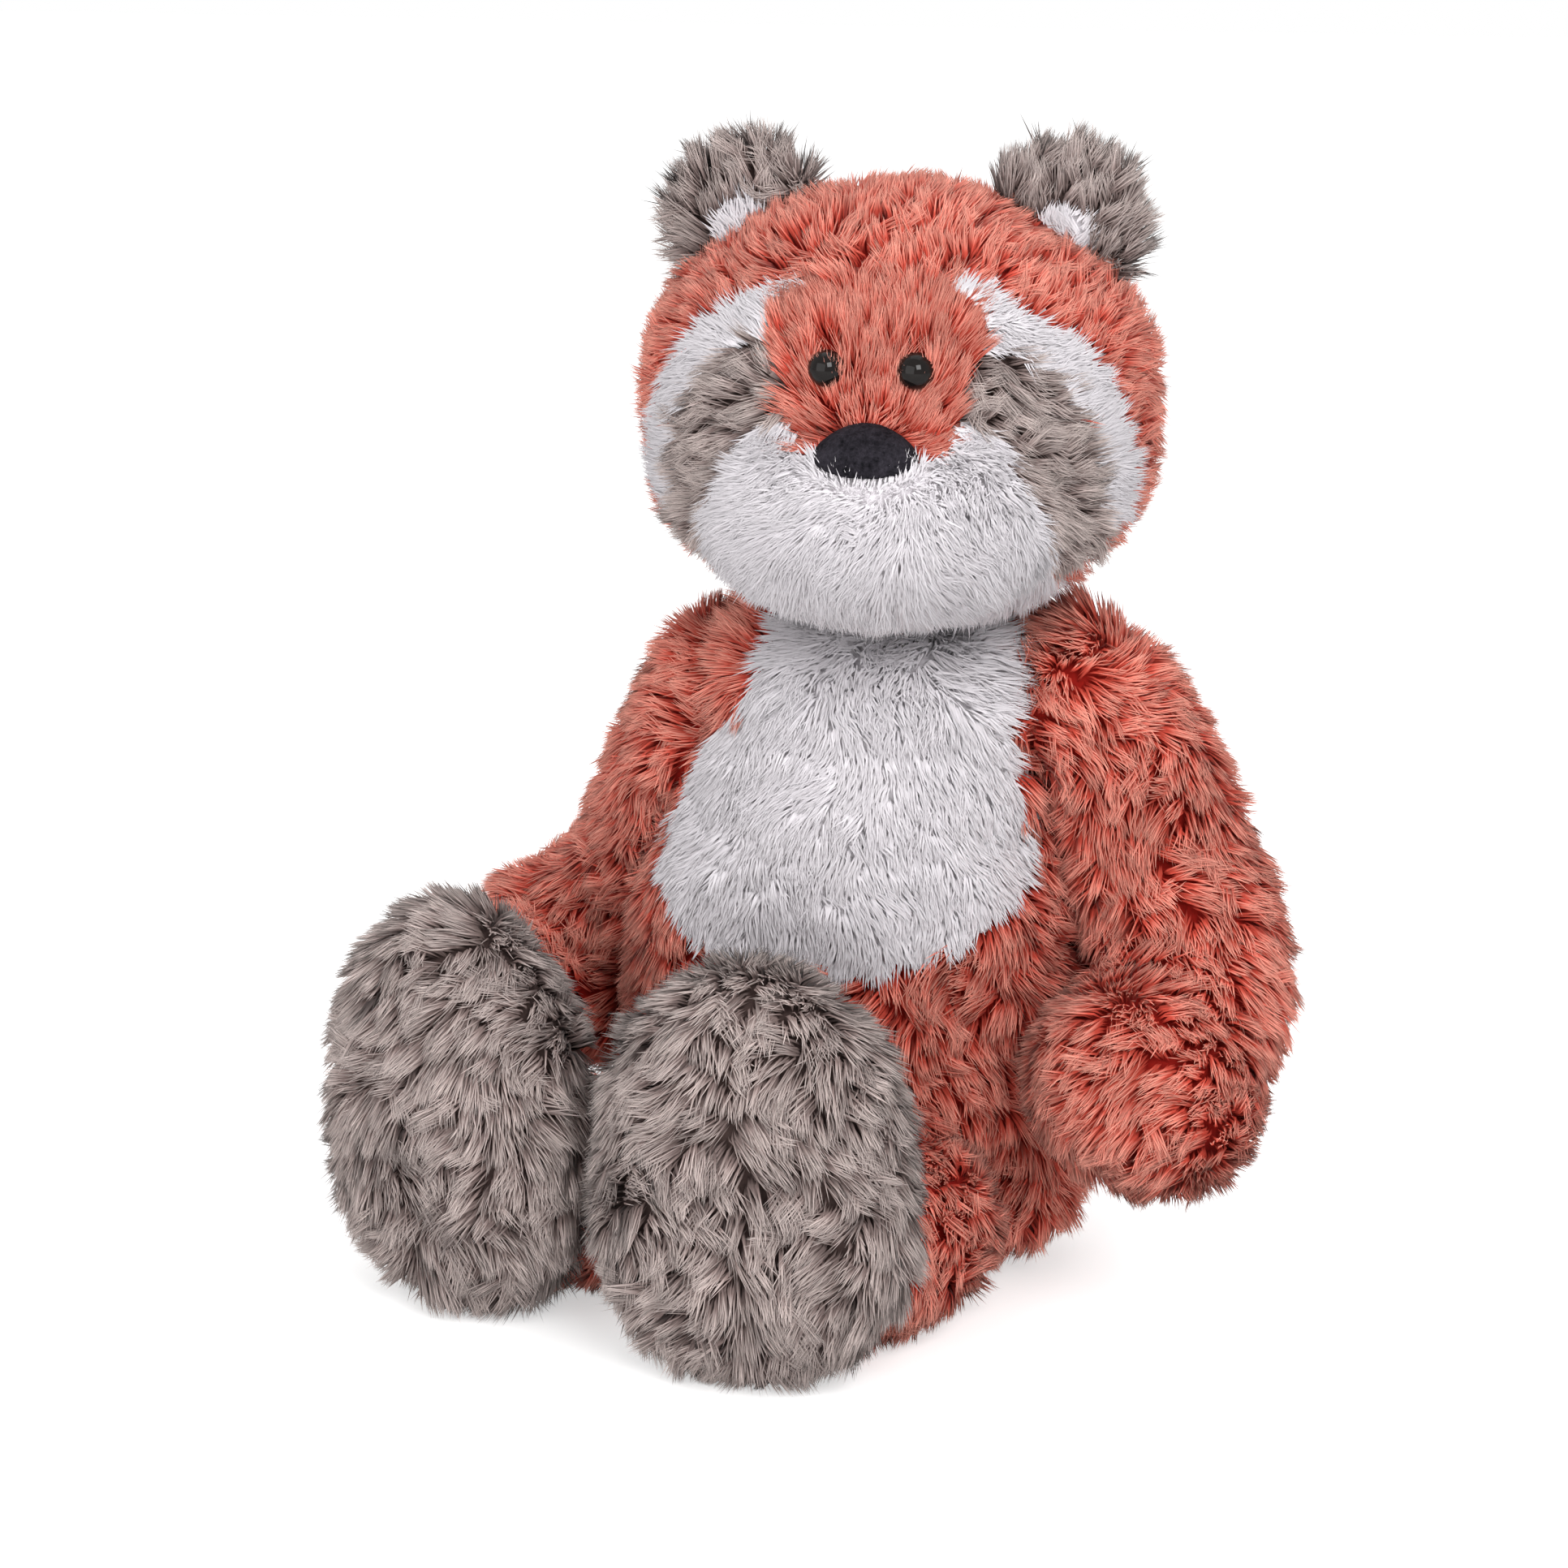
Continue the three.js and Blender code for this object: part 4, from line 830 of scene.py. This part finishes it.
# %% Fur finishes
def fur(name, root, body, tip, spread):
    """A fur dye: root to body to tip along the lock, times 1 - spread to 1 + spread across the map."""
    finish = Finish(name, Roughness=0.95, Specular_IOR_Level=0.04, Sheen_Weight=0.04, Sheen_Roughness=0.5)
    place = finish.node("UVMap", {"uv_map": "OFBake"})
    split = finish.node("SeparateXYZ", None, {0: place})
    dye, rise = split, Value(finish, split.socket.node.outputs[1])
    # The root colour is painted shade in the rust and grey dyes and painted light in the white one; the tip
    # is partly painted light.
    low = ((rise - 0.1) / 0.55).clipped()
    high = ((rise - 0.5) / 0.45).clipped()
    colour = finish.mix(high, finish.mix(low, linear(*root), linear(*body)), linear(*tip))
    drawn_out = finish.node("Mapping", None, {0: place, "Scale": (160.0, 3.0, 1.0)})
    grain = {"Vector": drawn_out, "Scale": 1.0, "Detail": 2.0}
    streak = finish.node("TexNoise", {"noise_dimensions": "2D"}, grain)
    shade = 1 - spread + 2 * spread * (0.65 * dye + 0.35 * streak)
    return finish.surface("Base Color", finish.scaled(colour, shade))


# The dark roots are painted shade, the white's lighter root is painted light, and the pale tips are partly
# painted light.
rust_fur = fur("rust_fur", (142, 30, 24), (210, 88, 72), (244, 168, 150), 0.42)
grey_fur = fur("grey_fur", (80, 65, 62), (148, 130, 126), (210, 195, 190), 0.46)
white_fur = fur("white_fur", (247, 242, 246), (237, 232, 236), (228, 223, 227), 0.02)
FURS = {"rust": (rust_fur, "rust_fur"), "grey": (grey_fur, "grey_fur"), "white": (white_fur, "white_fur")}
print("dyes:", *FURS)

# %% [markdown]
# ## Eyes and nose
# The eyes are black safety eyes, a polished dome on a post, and the nose is a padded shield of dark felt.
# They come before the pile, because the pile is parted round them.

# %% Eyes
EYE_RADIUS, EYE_SPACING, EYE_LEVEL, EYE_SINK = 4.5, 22, 17, 2.5
gloss = Finish("eye_gloss", Roughness=0.05, Specular_IOR_Level=0.25)
smoke = gloss.node("TexNoise", None, {"Vector": gloss.node("TexCoord", output=3), "Scale": 900.0})
gloss.surface("Base Color", gloss.mix(smoke, (0.004, 0.003, 0.003, 1), (0.010, 0.007, 0.006, 1)))
eye_places = {}


def dome(centre, axis, radius, columns=48, rows=22):
    """A closed dome: a ball whose back is flattened to a half, pointed along `axis`."""
    u, v = ball_angles(columns, rows)
    side = unit(np.cross(axis, [0, 0, 1]))
    other = np.cross(axis, side)
    forward = np.cos(v) * np.where(np.cos(v) < 0, 0.5, 1.0)
    across, upright = np.sin(v) * np.cos(u), np.sin(v) * np.sin(u)
    offset = forward[..., None] * axis + across[..., None] * side + upright[..., None] * other
    return centre + radius * offset


def closed_grid(points):
    """Triangles of a grid of rings whose first and last rows are poles, facing outwards."""
    rows, columns = points.shape[:2]
    corners = np.vstack([points[0, :1], points[1:-1].reshape(-1, 3), points[-1, :1]])
    last = len(corners) - 1
    ring = np.arange(columns)
    after = (ring + 1) % columns
    start = 1 + np.arange(rows - 3)[:, None] * columns
    a, b = (start + ring).ravel(), (start + after).ravel()
    c, d = b + columns, a + columns
    first_cap = np.zeros(columns, int), 1 + after, 1 + ring
    last_cap = last - columns + ring, last - columns + after, np.full(columns, last)
    faces = np.vstack([np.stack(corner, 1) for corner in ((a, b, c), (a, c, d), first_cap, last_cap)])
    one, two, three = (corners[faces[:, i]] for i in range(3))
    volume = (one * np.cross(two, three)).sum()
    return corners, faces if volume > 0 else faces[:, ::-1]


for side, sign in SIDES.items():
    x = sign * EYE_SPACING / 2
    reach = math.sqrt(1 - (x / HEAD[0]) ** 2 - (EYE_LEVEL / HEAD_HEIGHT) ** 2)
    axis = unit(np.array([sign * 0.16, -0.97, 0.16]))
    place = head_middle + [x, -HEAD[1] * reach, EYE_LEVEL] - EYE_SINK * axis
    eye_places[side] = (place, axis)
    ball = closed_grid(dome(place, axis, EYE_RADIUS))
    piece(f"eye_{side}_dome", [(*ball, None)], gloss, "head", [f"eye_{side}"])

# %% Nose
NOSE, NOSE_DEPTH, NOSE_BACK_DEPTH = (12.6, 7.6), 4.6, 2.5
NOSE_SQUARE, NOSE_EDGE = 0.75, 0.8  # powers of its outline and of its edge
NOSE_WRAP = 75  # how it bends round the muzzle: the square of a point's x over this
NOSE_GRAIN = 0.1
NOSE_ASIDE = 0.6  # to the toy's right
NOSE_BACK, NOSE_BELOW = 10.7, 2  # behind the muzzle's front and below the head's middle
nose_middle = np.array([
    head_middle[0] - NOSE_ASIDE, face_front - MUZZLE_REACH + NOSE_BACK, head_middle[2] - NOSE_BELOW,
])
nose_up = unit(np.array([0, 0.75, 0.66]))
nose_out = np.cross([1, 0, 0], nose_up)


def narrowed(upright):
    """The shield's width at a height of -1 to 1: its top narrows to 0.56 of its middle, its foot to 0.66."""
    return 1 - np.where(upright < 0, 0.34 * np.abs(upright) ** 1.8, 0.44 * np.abs(upright) ** 1.6)


def nose_shield(turn, rise):
    """A padded shield: superellipse outlines, narrower above, on a dome that wraps back round the muzzle.

    Outline: |cos|^0.75 and |sin|^0.75 of the turn, times the width at that height. Depth: the cosine of the
    rise, which runs from the front's middle to the back's.
    """
    across, upright = (np.sign(f(turn)) * np.abs(f(turn)) ** NOSE_SQUARE for f in (np.cos, np.sin))
    x = NOSE[0] * across * narrowed(upright) * np.sin(rise) ** NOSE_EDGE
    z = NOSE[1] * upright * np.sin(rise) ** NOSE_EDGE
    depth = np.cos(rise) * np.where(np.cos(rise) > 0, NOSE_DEPTH, NOSE_BACK_DEPTH) - x**2 / NOSE_WRAP
    frame_axes = np.stack([[1, 0, 0], nose_up, nose_out])
    return nose_middle + np.stack([x, z, depth], -1) @ frame_axes


felt = Finish("nose_felt", Roughness=0.95, Specular_IOR_Level=0.1)
place = felt.node("TexCoord", output=3)
fuzz = felt.node("TexNoise", None, {"Vector": place, "Scale": 900.0, "Detail": 6.0, "Roughness": 0.75})
patchy = felt.node("TexNoise", None, {"Vector": place, "Scale": 220.0, "Detail": 3.0})
felt_share = ((0.65 * fuzz + 0.35 * patchy - 0.36) * 3.6).clipped()
felt.surface("Base Color", felt.mix(felt_share, linear(12, 12, 17), linear(62, 58, 66)))
felt.surface("Normal", felt.node("Bump", None, {"Strength": 1.0, "Distance": 0.001, "Height": fuzz}))
u, v = ball_angles(96, 48)
grain = NOSE_GRAIN * rng.normal(size=u.shape) * np.sin(v)
nose_pad = nose_shield(u, v) + grain[..., None] * nose_out
piece("nose_felt_pad", [(*closed_grid(nose_pad), None)], felt, "head", ["nose"])


FAR = 9.0  # any share well over 1
NOSE_RIM = 2.6  # the power of the outline that the pile keeps to
NOSE_REAR = 16  # nothing further behind the nose is under it


def nose_cover(points):
    """How far points lie from the line through the nose's middle, in shares of its outline: 1 is its rim."""
    offset = points - nose_middle
    x, z = offset[:, 0] / NOSE[0], offset @ nose_up / NOSE[1]
    wide = x / narrowed(np.clip(z, -1, 1))
    share = (np.abs(wide) ** NOSE_RIM + np.abs(z) ** NOSE_RIM) ** (1 / NOSE_RIM)
    return np.where(offset @ nose_out > -NOSE_REAR, share, FAR)


# %% [markdown]
# ## Combing and cutting the coat
# Each panel is given its direction of comb, and the pile is thinned where something else is: no lock grows
# inside the next form, over an eye or through the nose.


# %% Parting the pile
EYE_SQUEEZE = [1.15, 1, 1]  # the pile comes closer to an eye at its sides
EYE_CLEAR, EYE_RISE, EYE_RIM, EYE_REACH = 3.2, 1.6, 5, 9  # millimetres from the middle of an eye


def parted(root, comb):
    """How long the pile may stand near an eye or the nose, and the comb turned away from them.

    On the eye or under the nose the share is 0. It is longest at the rim of an eye, where it leans over the
    sides and the foot of the eye and away from its top. The white pile under the nose leans up over its edge.
    """
    rim = nose_cover(root)
    share = np.where(rim < 0.8, 0.0, 1.0)
    below = np.where((root - nose_middle) @ nose_up < 0, ramp(1.9 - rim, 0.9), 0)[:, None]
    comb = comb * (1 - below) + 0.35 * below * nose_up
    for place, axis in eye_places.values():
        offset = root - place
        aside = offset - (offset @ axis)[:, None] * axis
        away = np.linalg.norm(aside * EYE_SQUEEZE, axis=1)
        front = offset @ axis > -12
        rim_share = ramp(away - EYE_CLEAR, EYE_RISE) * (1 + 0.3 * np.clip(1 - (away - EYE_RIM) / 4, 0, 1))
        share = np.where(front & (away < EYE_REACH), np.minimum(share, 1) * rim_share, share)
        pull = np.where(front, np.clip(1 - (away - 4) / 5, 0, 1), 0)[:, None]
        above = np.clip(aside[:, 2:] / np.maximum(away[:, None], 1), 0, 1)
        beside = np.clip(np.abs(aside[:, :1]) / np.maximum(away[:, None], 1), 0, 1) ** 2
        inwards = (0.25 + 0.4 * beside) * (1 - above)
        comb = comb * (1 - 0.8 * pull) + (0.8 * above - inwards) * pull * unit(aside)
    return share, comb


# %% Grow a coat
SHORTEST = 0.12  # a lock with less than this share of its length is left out
FEWEST = 20  # and so is the pile of a panel that has no more locks than this
LOWEST = 1.2  # no lock is rooted nearer to the floor
TRIM = 1.5  # inside another form a cloth ends this much sooner than its pile
FADE = 14  # over how many millimetres one comb or length of pile passes into another


def coat(form, panels, split=None, hidden=(), near_face=False, longer=None, thinned=()):
    """Grows one form's cloth and pile and shares them among its panels.

    `panels` are (name, nodes, fur, pile, comb, body) and `split` numbers a point's panel. `hidden` holds
    forms, and how deep inside each the coat still goes on. Half as much pile grows inside the `thinned`
    forms, which press on it. `longer` gives a longer pile where it is over 1.
    """
    split = split or (lambda points: np.zeros(len(points), int))

    def kept(points, margin):
        keep = np.ones(len(points), bool)
        for other, extra in hidden:
            keep &= other.depth(points, extra - margin) > 1
        return keep

    grown = {}
    for number, (name, nodes, dye, pile, comb, body) in enumerate(panels):
        u, v = sampled(form, pile.density)
        root, normal, along = form.skin(u, v, pile.inset)
        mine = (split(root + pile.inset * normal) == number) & kept(root, -pile.inset) & (root[:, 2] > LOWEST)
        for other in thinned:
            mine &= (other.depth(root) > 1) | (rng.random(len(root)) < 0.5)
        root, normal, along = root[mine], normal[mine], along[mine]
        way, share = comb(root, along), np.ones(len(root))
        if near_face:
            share, way = parted(root, way)
        if longer:
            share = share * longer(root)
        tall = share > SHORTEST
        parts = []
        if tall.sum() > FEWEST:
            parts.append(locks(root[tall], normal[tall], way[tall], pile, share[tall]))
        chosen = lambda points: (split(points) == number) & kept(points, TRIM - pile.inset)
        cloth = backing(form, chosen, pile.inset)
        if len(cloth[1]):
            parts.append(cloth)
        print(f"{name}: {tall.sum()} locks")
        grown[name] = (parts, dye, body, nodes)
    return grown


# %% Combs
def towards(*vector):
    """A comb that is the same everywhere."""
    return lambda root, along: np.broadcast_to(np.array(vector, float), root.shape)


def from_point(point, drift=(0, 0, 0)):
    """A comb that fans out from a point, with a drift added."""
    return lambda root, along: unit(root - np.array(point)) + np.array(drift, float)


def down_the_form(root, along):
    """A comb from the form's first pole to its last."""
    return along


def whorled(end, way, size=48):
    """A comb down the form that turns into a whorl round its end: along + way x offset, near the end."""

    def comb(root, along):
        offset = root - end
        near = np.clip(1.2 - np.linalg.norm(offset, axis=1, keepdims=True) / size, 0, 1)
        return along + 1.3 * near * np.cross(way, unit(offset))

    return comb


def brow_comb(root, along):
    """Out from the middle of the face and back along the side of the head."""
    return unit(root - head_middle + [0, 70, 0])


def side_comb(root, along):
    """As the brow's comb, a little downwards."""
    return brow_comb(root, along) + [[0, 0, -0.4]]


def crown_comb(root, along):
    """Up and out over the rim of the face, back over the head, and down behind it."""
    behind = ramp(root[:, 1:2] - head_middle[1], HEAD[1])
    return unit(root - head_middle + [0, 60, 10]) + behind * np.array([[0, 0.3, -1.6]])


# %% [markdown]
# ## The coats
# A maker cuts each panel so that its pile lies the way a hand will stroke it. Here each form is dressed in
# turn with a comb of its own: out from the nose over the face, down the body, and in a whorl round each
# paw. A panel that lies on two forms, as the muzzle does, is gathered into one piece.

# %% Coats of the head
muzzle_comb = from_point(nose_middle + [0, 20, 4], (0, 0, -0.5))
gusset_comb = from_point(nose_middle + [0, 12, -8], (0, 0, 0.3))
HEAD_PANELS = [
    ("crown_fur", ["head_crown", "head_filling"], "rust", CROWN_PILE, crown_comb, "head"),
    ("muzzle_fur", ["muzzle"], "white", MUZZLE_PILE, muzzle_comb, "head"),
    ("gusset_fur", ["face_gusset"], "rust", FACE_PILE, gusset_comb, "head"),
    ("brow_left_fur", ["brow_patch_left"], "white", MUZZLE_PILE, brow_comb, "head"),
    ("cheek_left_fur", ["cheek_patch_left"], "grey", CHEEK_PILE, side_comb, "head"),
    ("brow_right_fur", ["brow_patch_right"], "white", MUZZLE_PILE, brow_comb, "head"),
    ("cheek_right_fur", ["cheek_patch_right"], "grey", CHEEK_PILE, side_comb, "head"),
]
coats = {}


def gather(grown):
    """Adds a form's panels to the coats, so that a panel that lies on two forms becomes one piece."""
    for name, (parts, dye, body, nodes) in grown.items():
        if name in coats:
            coats[name][0].extend(parts)
        else:
            coats[name] = (list(parts), dye, body, list(nodes))


CHIN = 22  # the height over the head's base where its pile begins to hang


def hanging(root):
    """The pile at the foot of the head hangs lower and hides the neck."""
    return 1 + 0.5 * ramp(HEAD_BASE + CHIN - root[:, 2], FADE)


gather(coat(skull, HEAD_PANELS, head_panel, [(snout, 0)], near_face=True, longer=hanging))
gather(coat(snout, HEAD_PANELS, head_panel, [(skull, 0)], near_face=True))

# %% Coats of the ears
EAR_LINING = 8
for side, sign in SIDES.items():

    def ear_panel(points, side=side, sign=sign):
        """1 on the white lining: a round low on the ear's front."""
        low = ear_middle[side] - EAR_RADIUS * (0.12 * ear_lean[side] - [0.05 * sign, 0, 0])
        offset = points - low
        return ((offset[:, 1] < 0) & (np.hypot(offset[:, 0], offset[:, 2]) < EAR_LINING)).astype(int)

    upwards = towards(*ear_lean[side])
    panels = [
        (f"ear_{side}_fur", [f"ear_{side}"], "grey", EAR_PILE, upwards, "head"),
        (f"ear_{side}_lining_fur", [f"ear_lining_{side}"], "white", EAR_WHITE_PILE, upwards, "head"),
    ]
    gather(coat(ears[side], panels, ear_panel, [(skull, 0)]))


# %% Coats of the body
COLLAR_COMB, COLLAR_PILE = 28, 30  # how far below the body's top these begin


def body_comb(root, along):
    """Down the body, but up and outwards at the collar, where the pile closes the gap under the head."""
    up = ramp(root[:, 2:] - TORSO_HEIGHT + COLLAR_COMB, FADE)
    return (1 - up) * [[0, 0.1, -1]] + up * (0.7 * unit(root - neck) + [[0, 0, 0.8]])


BODY_PANELS = [
    ("body_fur", ["torso_skin", "torso_filling", "bean_pouch"], "rust", BODY_PILE, body_comb, "torso"),
    ("tummy_fur", ["tummy_panel"], "white", WHITE_PILE, towards(0.1, 0, -1), "torso"),
]


def collar(root):
    """The pile round the neck and over the shoulders stands up and meets the head."""
    return 1 + 0.7 * ramp(root[:, 2] - TORSO_HEIGHT + COLLAR_PILE, FADE)


gather(coat(torso, BODY_PANELS, torso_panel, longer=collar, thinned=[*arms.values(), *legs.values()]))


# %% Coats of the limbs
SHOULDER_TOP = 22  # how far below the body's top the shoulders' pile begins to turn and rise
SKIRT, SKIRT_FADE = 26, 20  # how high the feet's pile begins to spread, and over what height


def over_shoulder(comb):
    """A limb's comb, turned towards the head on top of the shoulder."""

    def turned_in(root, along):
        top = ramp(root[:, 2:] - TORSO_HEIGHT + SHOULDER_TOP, FADE)
        return (1 - top) * comb(root, along) + top * unit(neck + [0, 0, 15] - root)

    return turned_in


def shoulder_pile(root):
    """The pile on top of a shoulder stands up to the head."""
    return 1 + 0.6 * ramp(root[:, 2] - TORSO_HEIGHT + SHOULDER_TOP, FADE)


def skirt(root):
    """The feet's pile spreads where it meets the floor, most of all between the feet, and hides the legs."""
    low = ramp(SKIRT - root[:, 2], SKIRT_FADE)
    gap = (foot_middle["left"] + foot_middle["right"])[0] / 2
    return 1 + low * (0.35 + 0.7 * np.clip(1.5 - np.abs(root[:, 0] - gap) / 20, 0, 1))


for side, middle in foot_middle.items():
    arm_nodes, leg_nodes = ([f"{limb}_{side}", f"{limb}_filling_{side}"] for limb in ("arm", "leg"))
    arm_comb = over_shoulder(whorled(arms[side].line[-1], arms[side].tangent[-1]))
    arm = (f"arm_{side}_fur", arm_nodes, "rust", BODY_PILE, arm_comb, f"arm_{side}")
    gather(coat(arms[side], [arm], longer=shoulder_pile, thinned=[torso]))
    leg = (f"leg_{side}_fur", leg_nodes, "rust", BODY_PILE, down_the_form, f"leg_{side}")
    gather(coat(legs[side], [leg], None, [(torso, 12), (feet[side], 0)]))
    fan = from_point(middle - 30 * sole_way[side] + [0, 0, 0.7 * FOOT_HEIGHT], (0, 0, -0.35))
    foot_nodes = [f"foot_{side}", f"foot_filling_{side}", f"foot_pellets_{side}"]
    foot = (f"foot_{side}_fur", foot_nodes, "grey", FOOT_PILE, fan, f"leg_{side}")
    gather(coat(feet[side], [foot], longer=skirt))

# %% Coat of the tail
TAIL_BANDS = 4
band_ends = 0.28 + 0.72 * np.arange(TAIL_BANDS - 1) / (TAIL_BANDS - 1)


def tail_panel(points):
    """The band of each point, by how far along the tail its nearest middle point lies."""
    share = tail.far[nearest(points, tail.line)] / tail.length
    return np.searchsorted(band_ends, share)


bands = []
for band in range(TAIL_BANDS):
    name, dye = f"tail_band_{band + 1}", ("rust", "grey")[band % 2]
    nodes = [name] + (["tail_filling"] if band == 0 else [])
    bands.append((f"{name}_fur", nodes, dye, BODY_PILE, down_the_form, "tail"))
gather(coat(tail, bands, tail_panel, [(torso, 8)]))

# %% Sew the coats into pieces
for name, (parts, dye, body, nodes) in coats.items():
    finish, slot_name = FURS[dye]
    piece(name, parts, finish, body, nodes)

# %% [markdown]
# ## What stays inside
# The washers that hold the eyes are never seen, and keep their solids. The neck is a ball of stuffing in a
# thin net, dented where the fibre bunches, and shows only when the head is turned far to one side.

# %% Inner pieces
plastic = Finish("washer_plastic", Roughness=0.45)
grain = plastic.node("TexNoise", None, {"Vector": plastic.node("TexCoord", output=3), "Scale": 400.0})
plastic.surface("Base Color", plastic.mix(grain, (0.72, 0.72, 0.69, 1), (0.8, 0.8, 0.77, 1)))
for name in ("eye_washer_left", "eye_washer_right"):
    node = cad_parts[name]
    node.data.materials.clear()
    node.data.materials.append(plastic.material)

fibre = Finish("stuffing_fibre", Roughness=1.0)
place = fibre.node("TexCoord", output=3)
wool = fibre.node("TexNoise", None, {"Vector": place, "Scale": 300.0, "Detail": 5.0})
fibre.surface("Base Color", fibre.mix(wool, (0.8, 0.78, 0.74, 1), (0.95, 0.94, 0.9, 1)))
fibre.surface("Normal", fibre.node("Bump", None, {"Strength": 0.6, "Distance": 0.001, "Height": wool}))
NECK_BALL, NECK_NET, NECK_DENT = 16, 0.6, 0.5  # its radius, how far inside the net lies, and the dents' depth
u, v = ball_angles(64, 32)
outward = np.stack([np.cos(u) * np.sin(v), np.sin(u) * np.sin(v), np.cos(v)], -1)
dents = swirl(8 * outward.reshape(-1, 3), 3).reshape(u.shape)
neck_ball = neck + (NECK_BALL - NECK_NET + NECK_DENT * np.clip(dents, -1, 1))[..., None] * outward
neck_parts = [(*closed_grid(neck_ball), None)]
neck_piece = piece("neck_ball", neck_parts, fibre, "neck", ["neck_filling"])
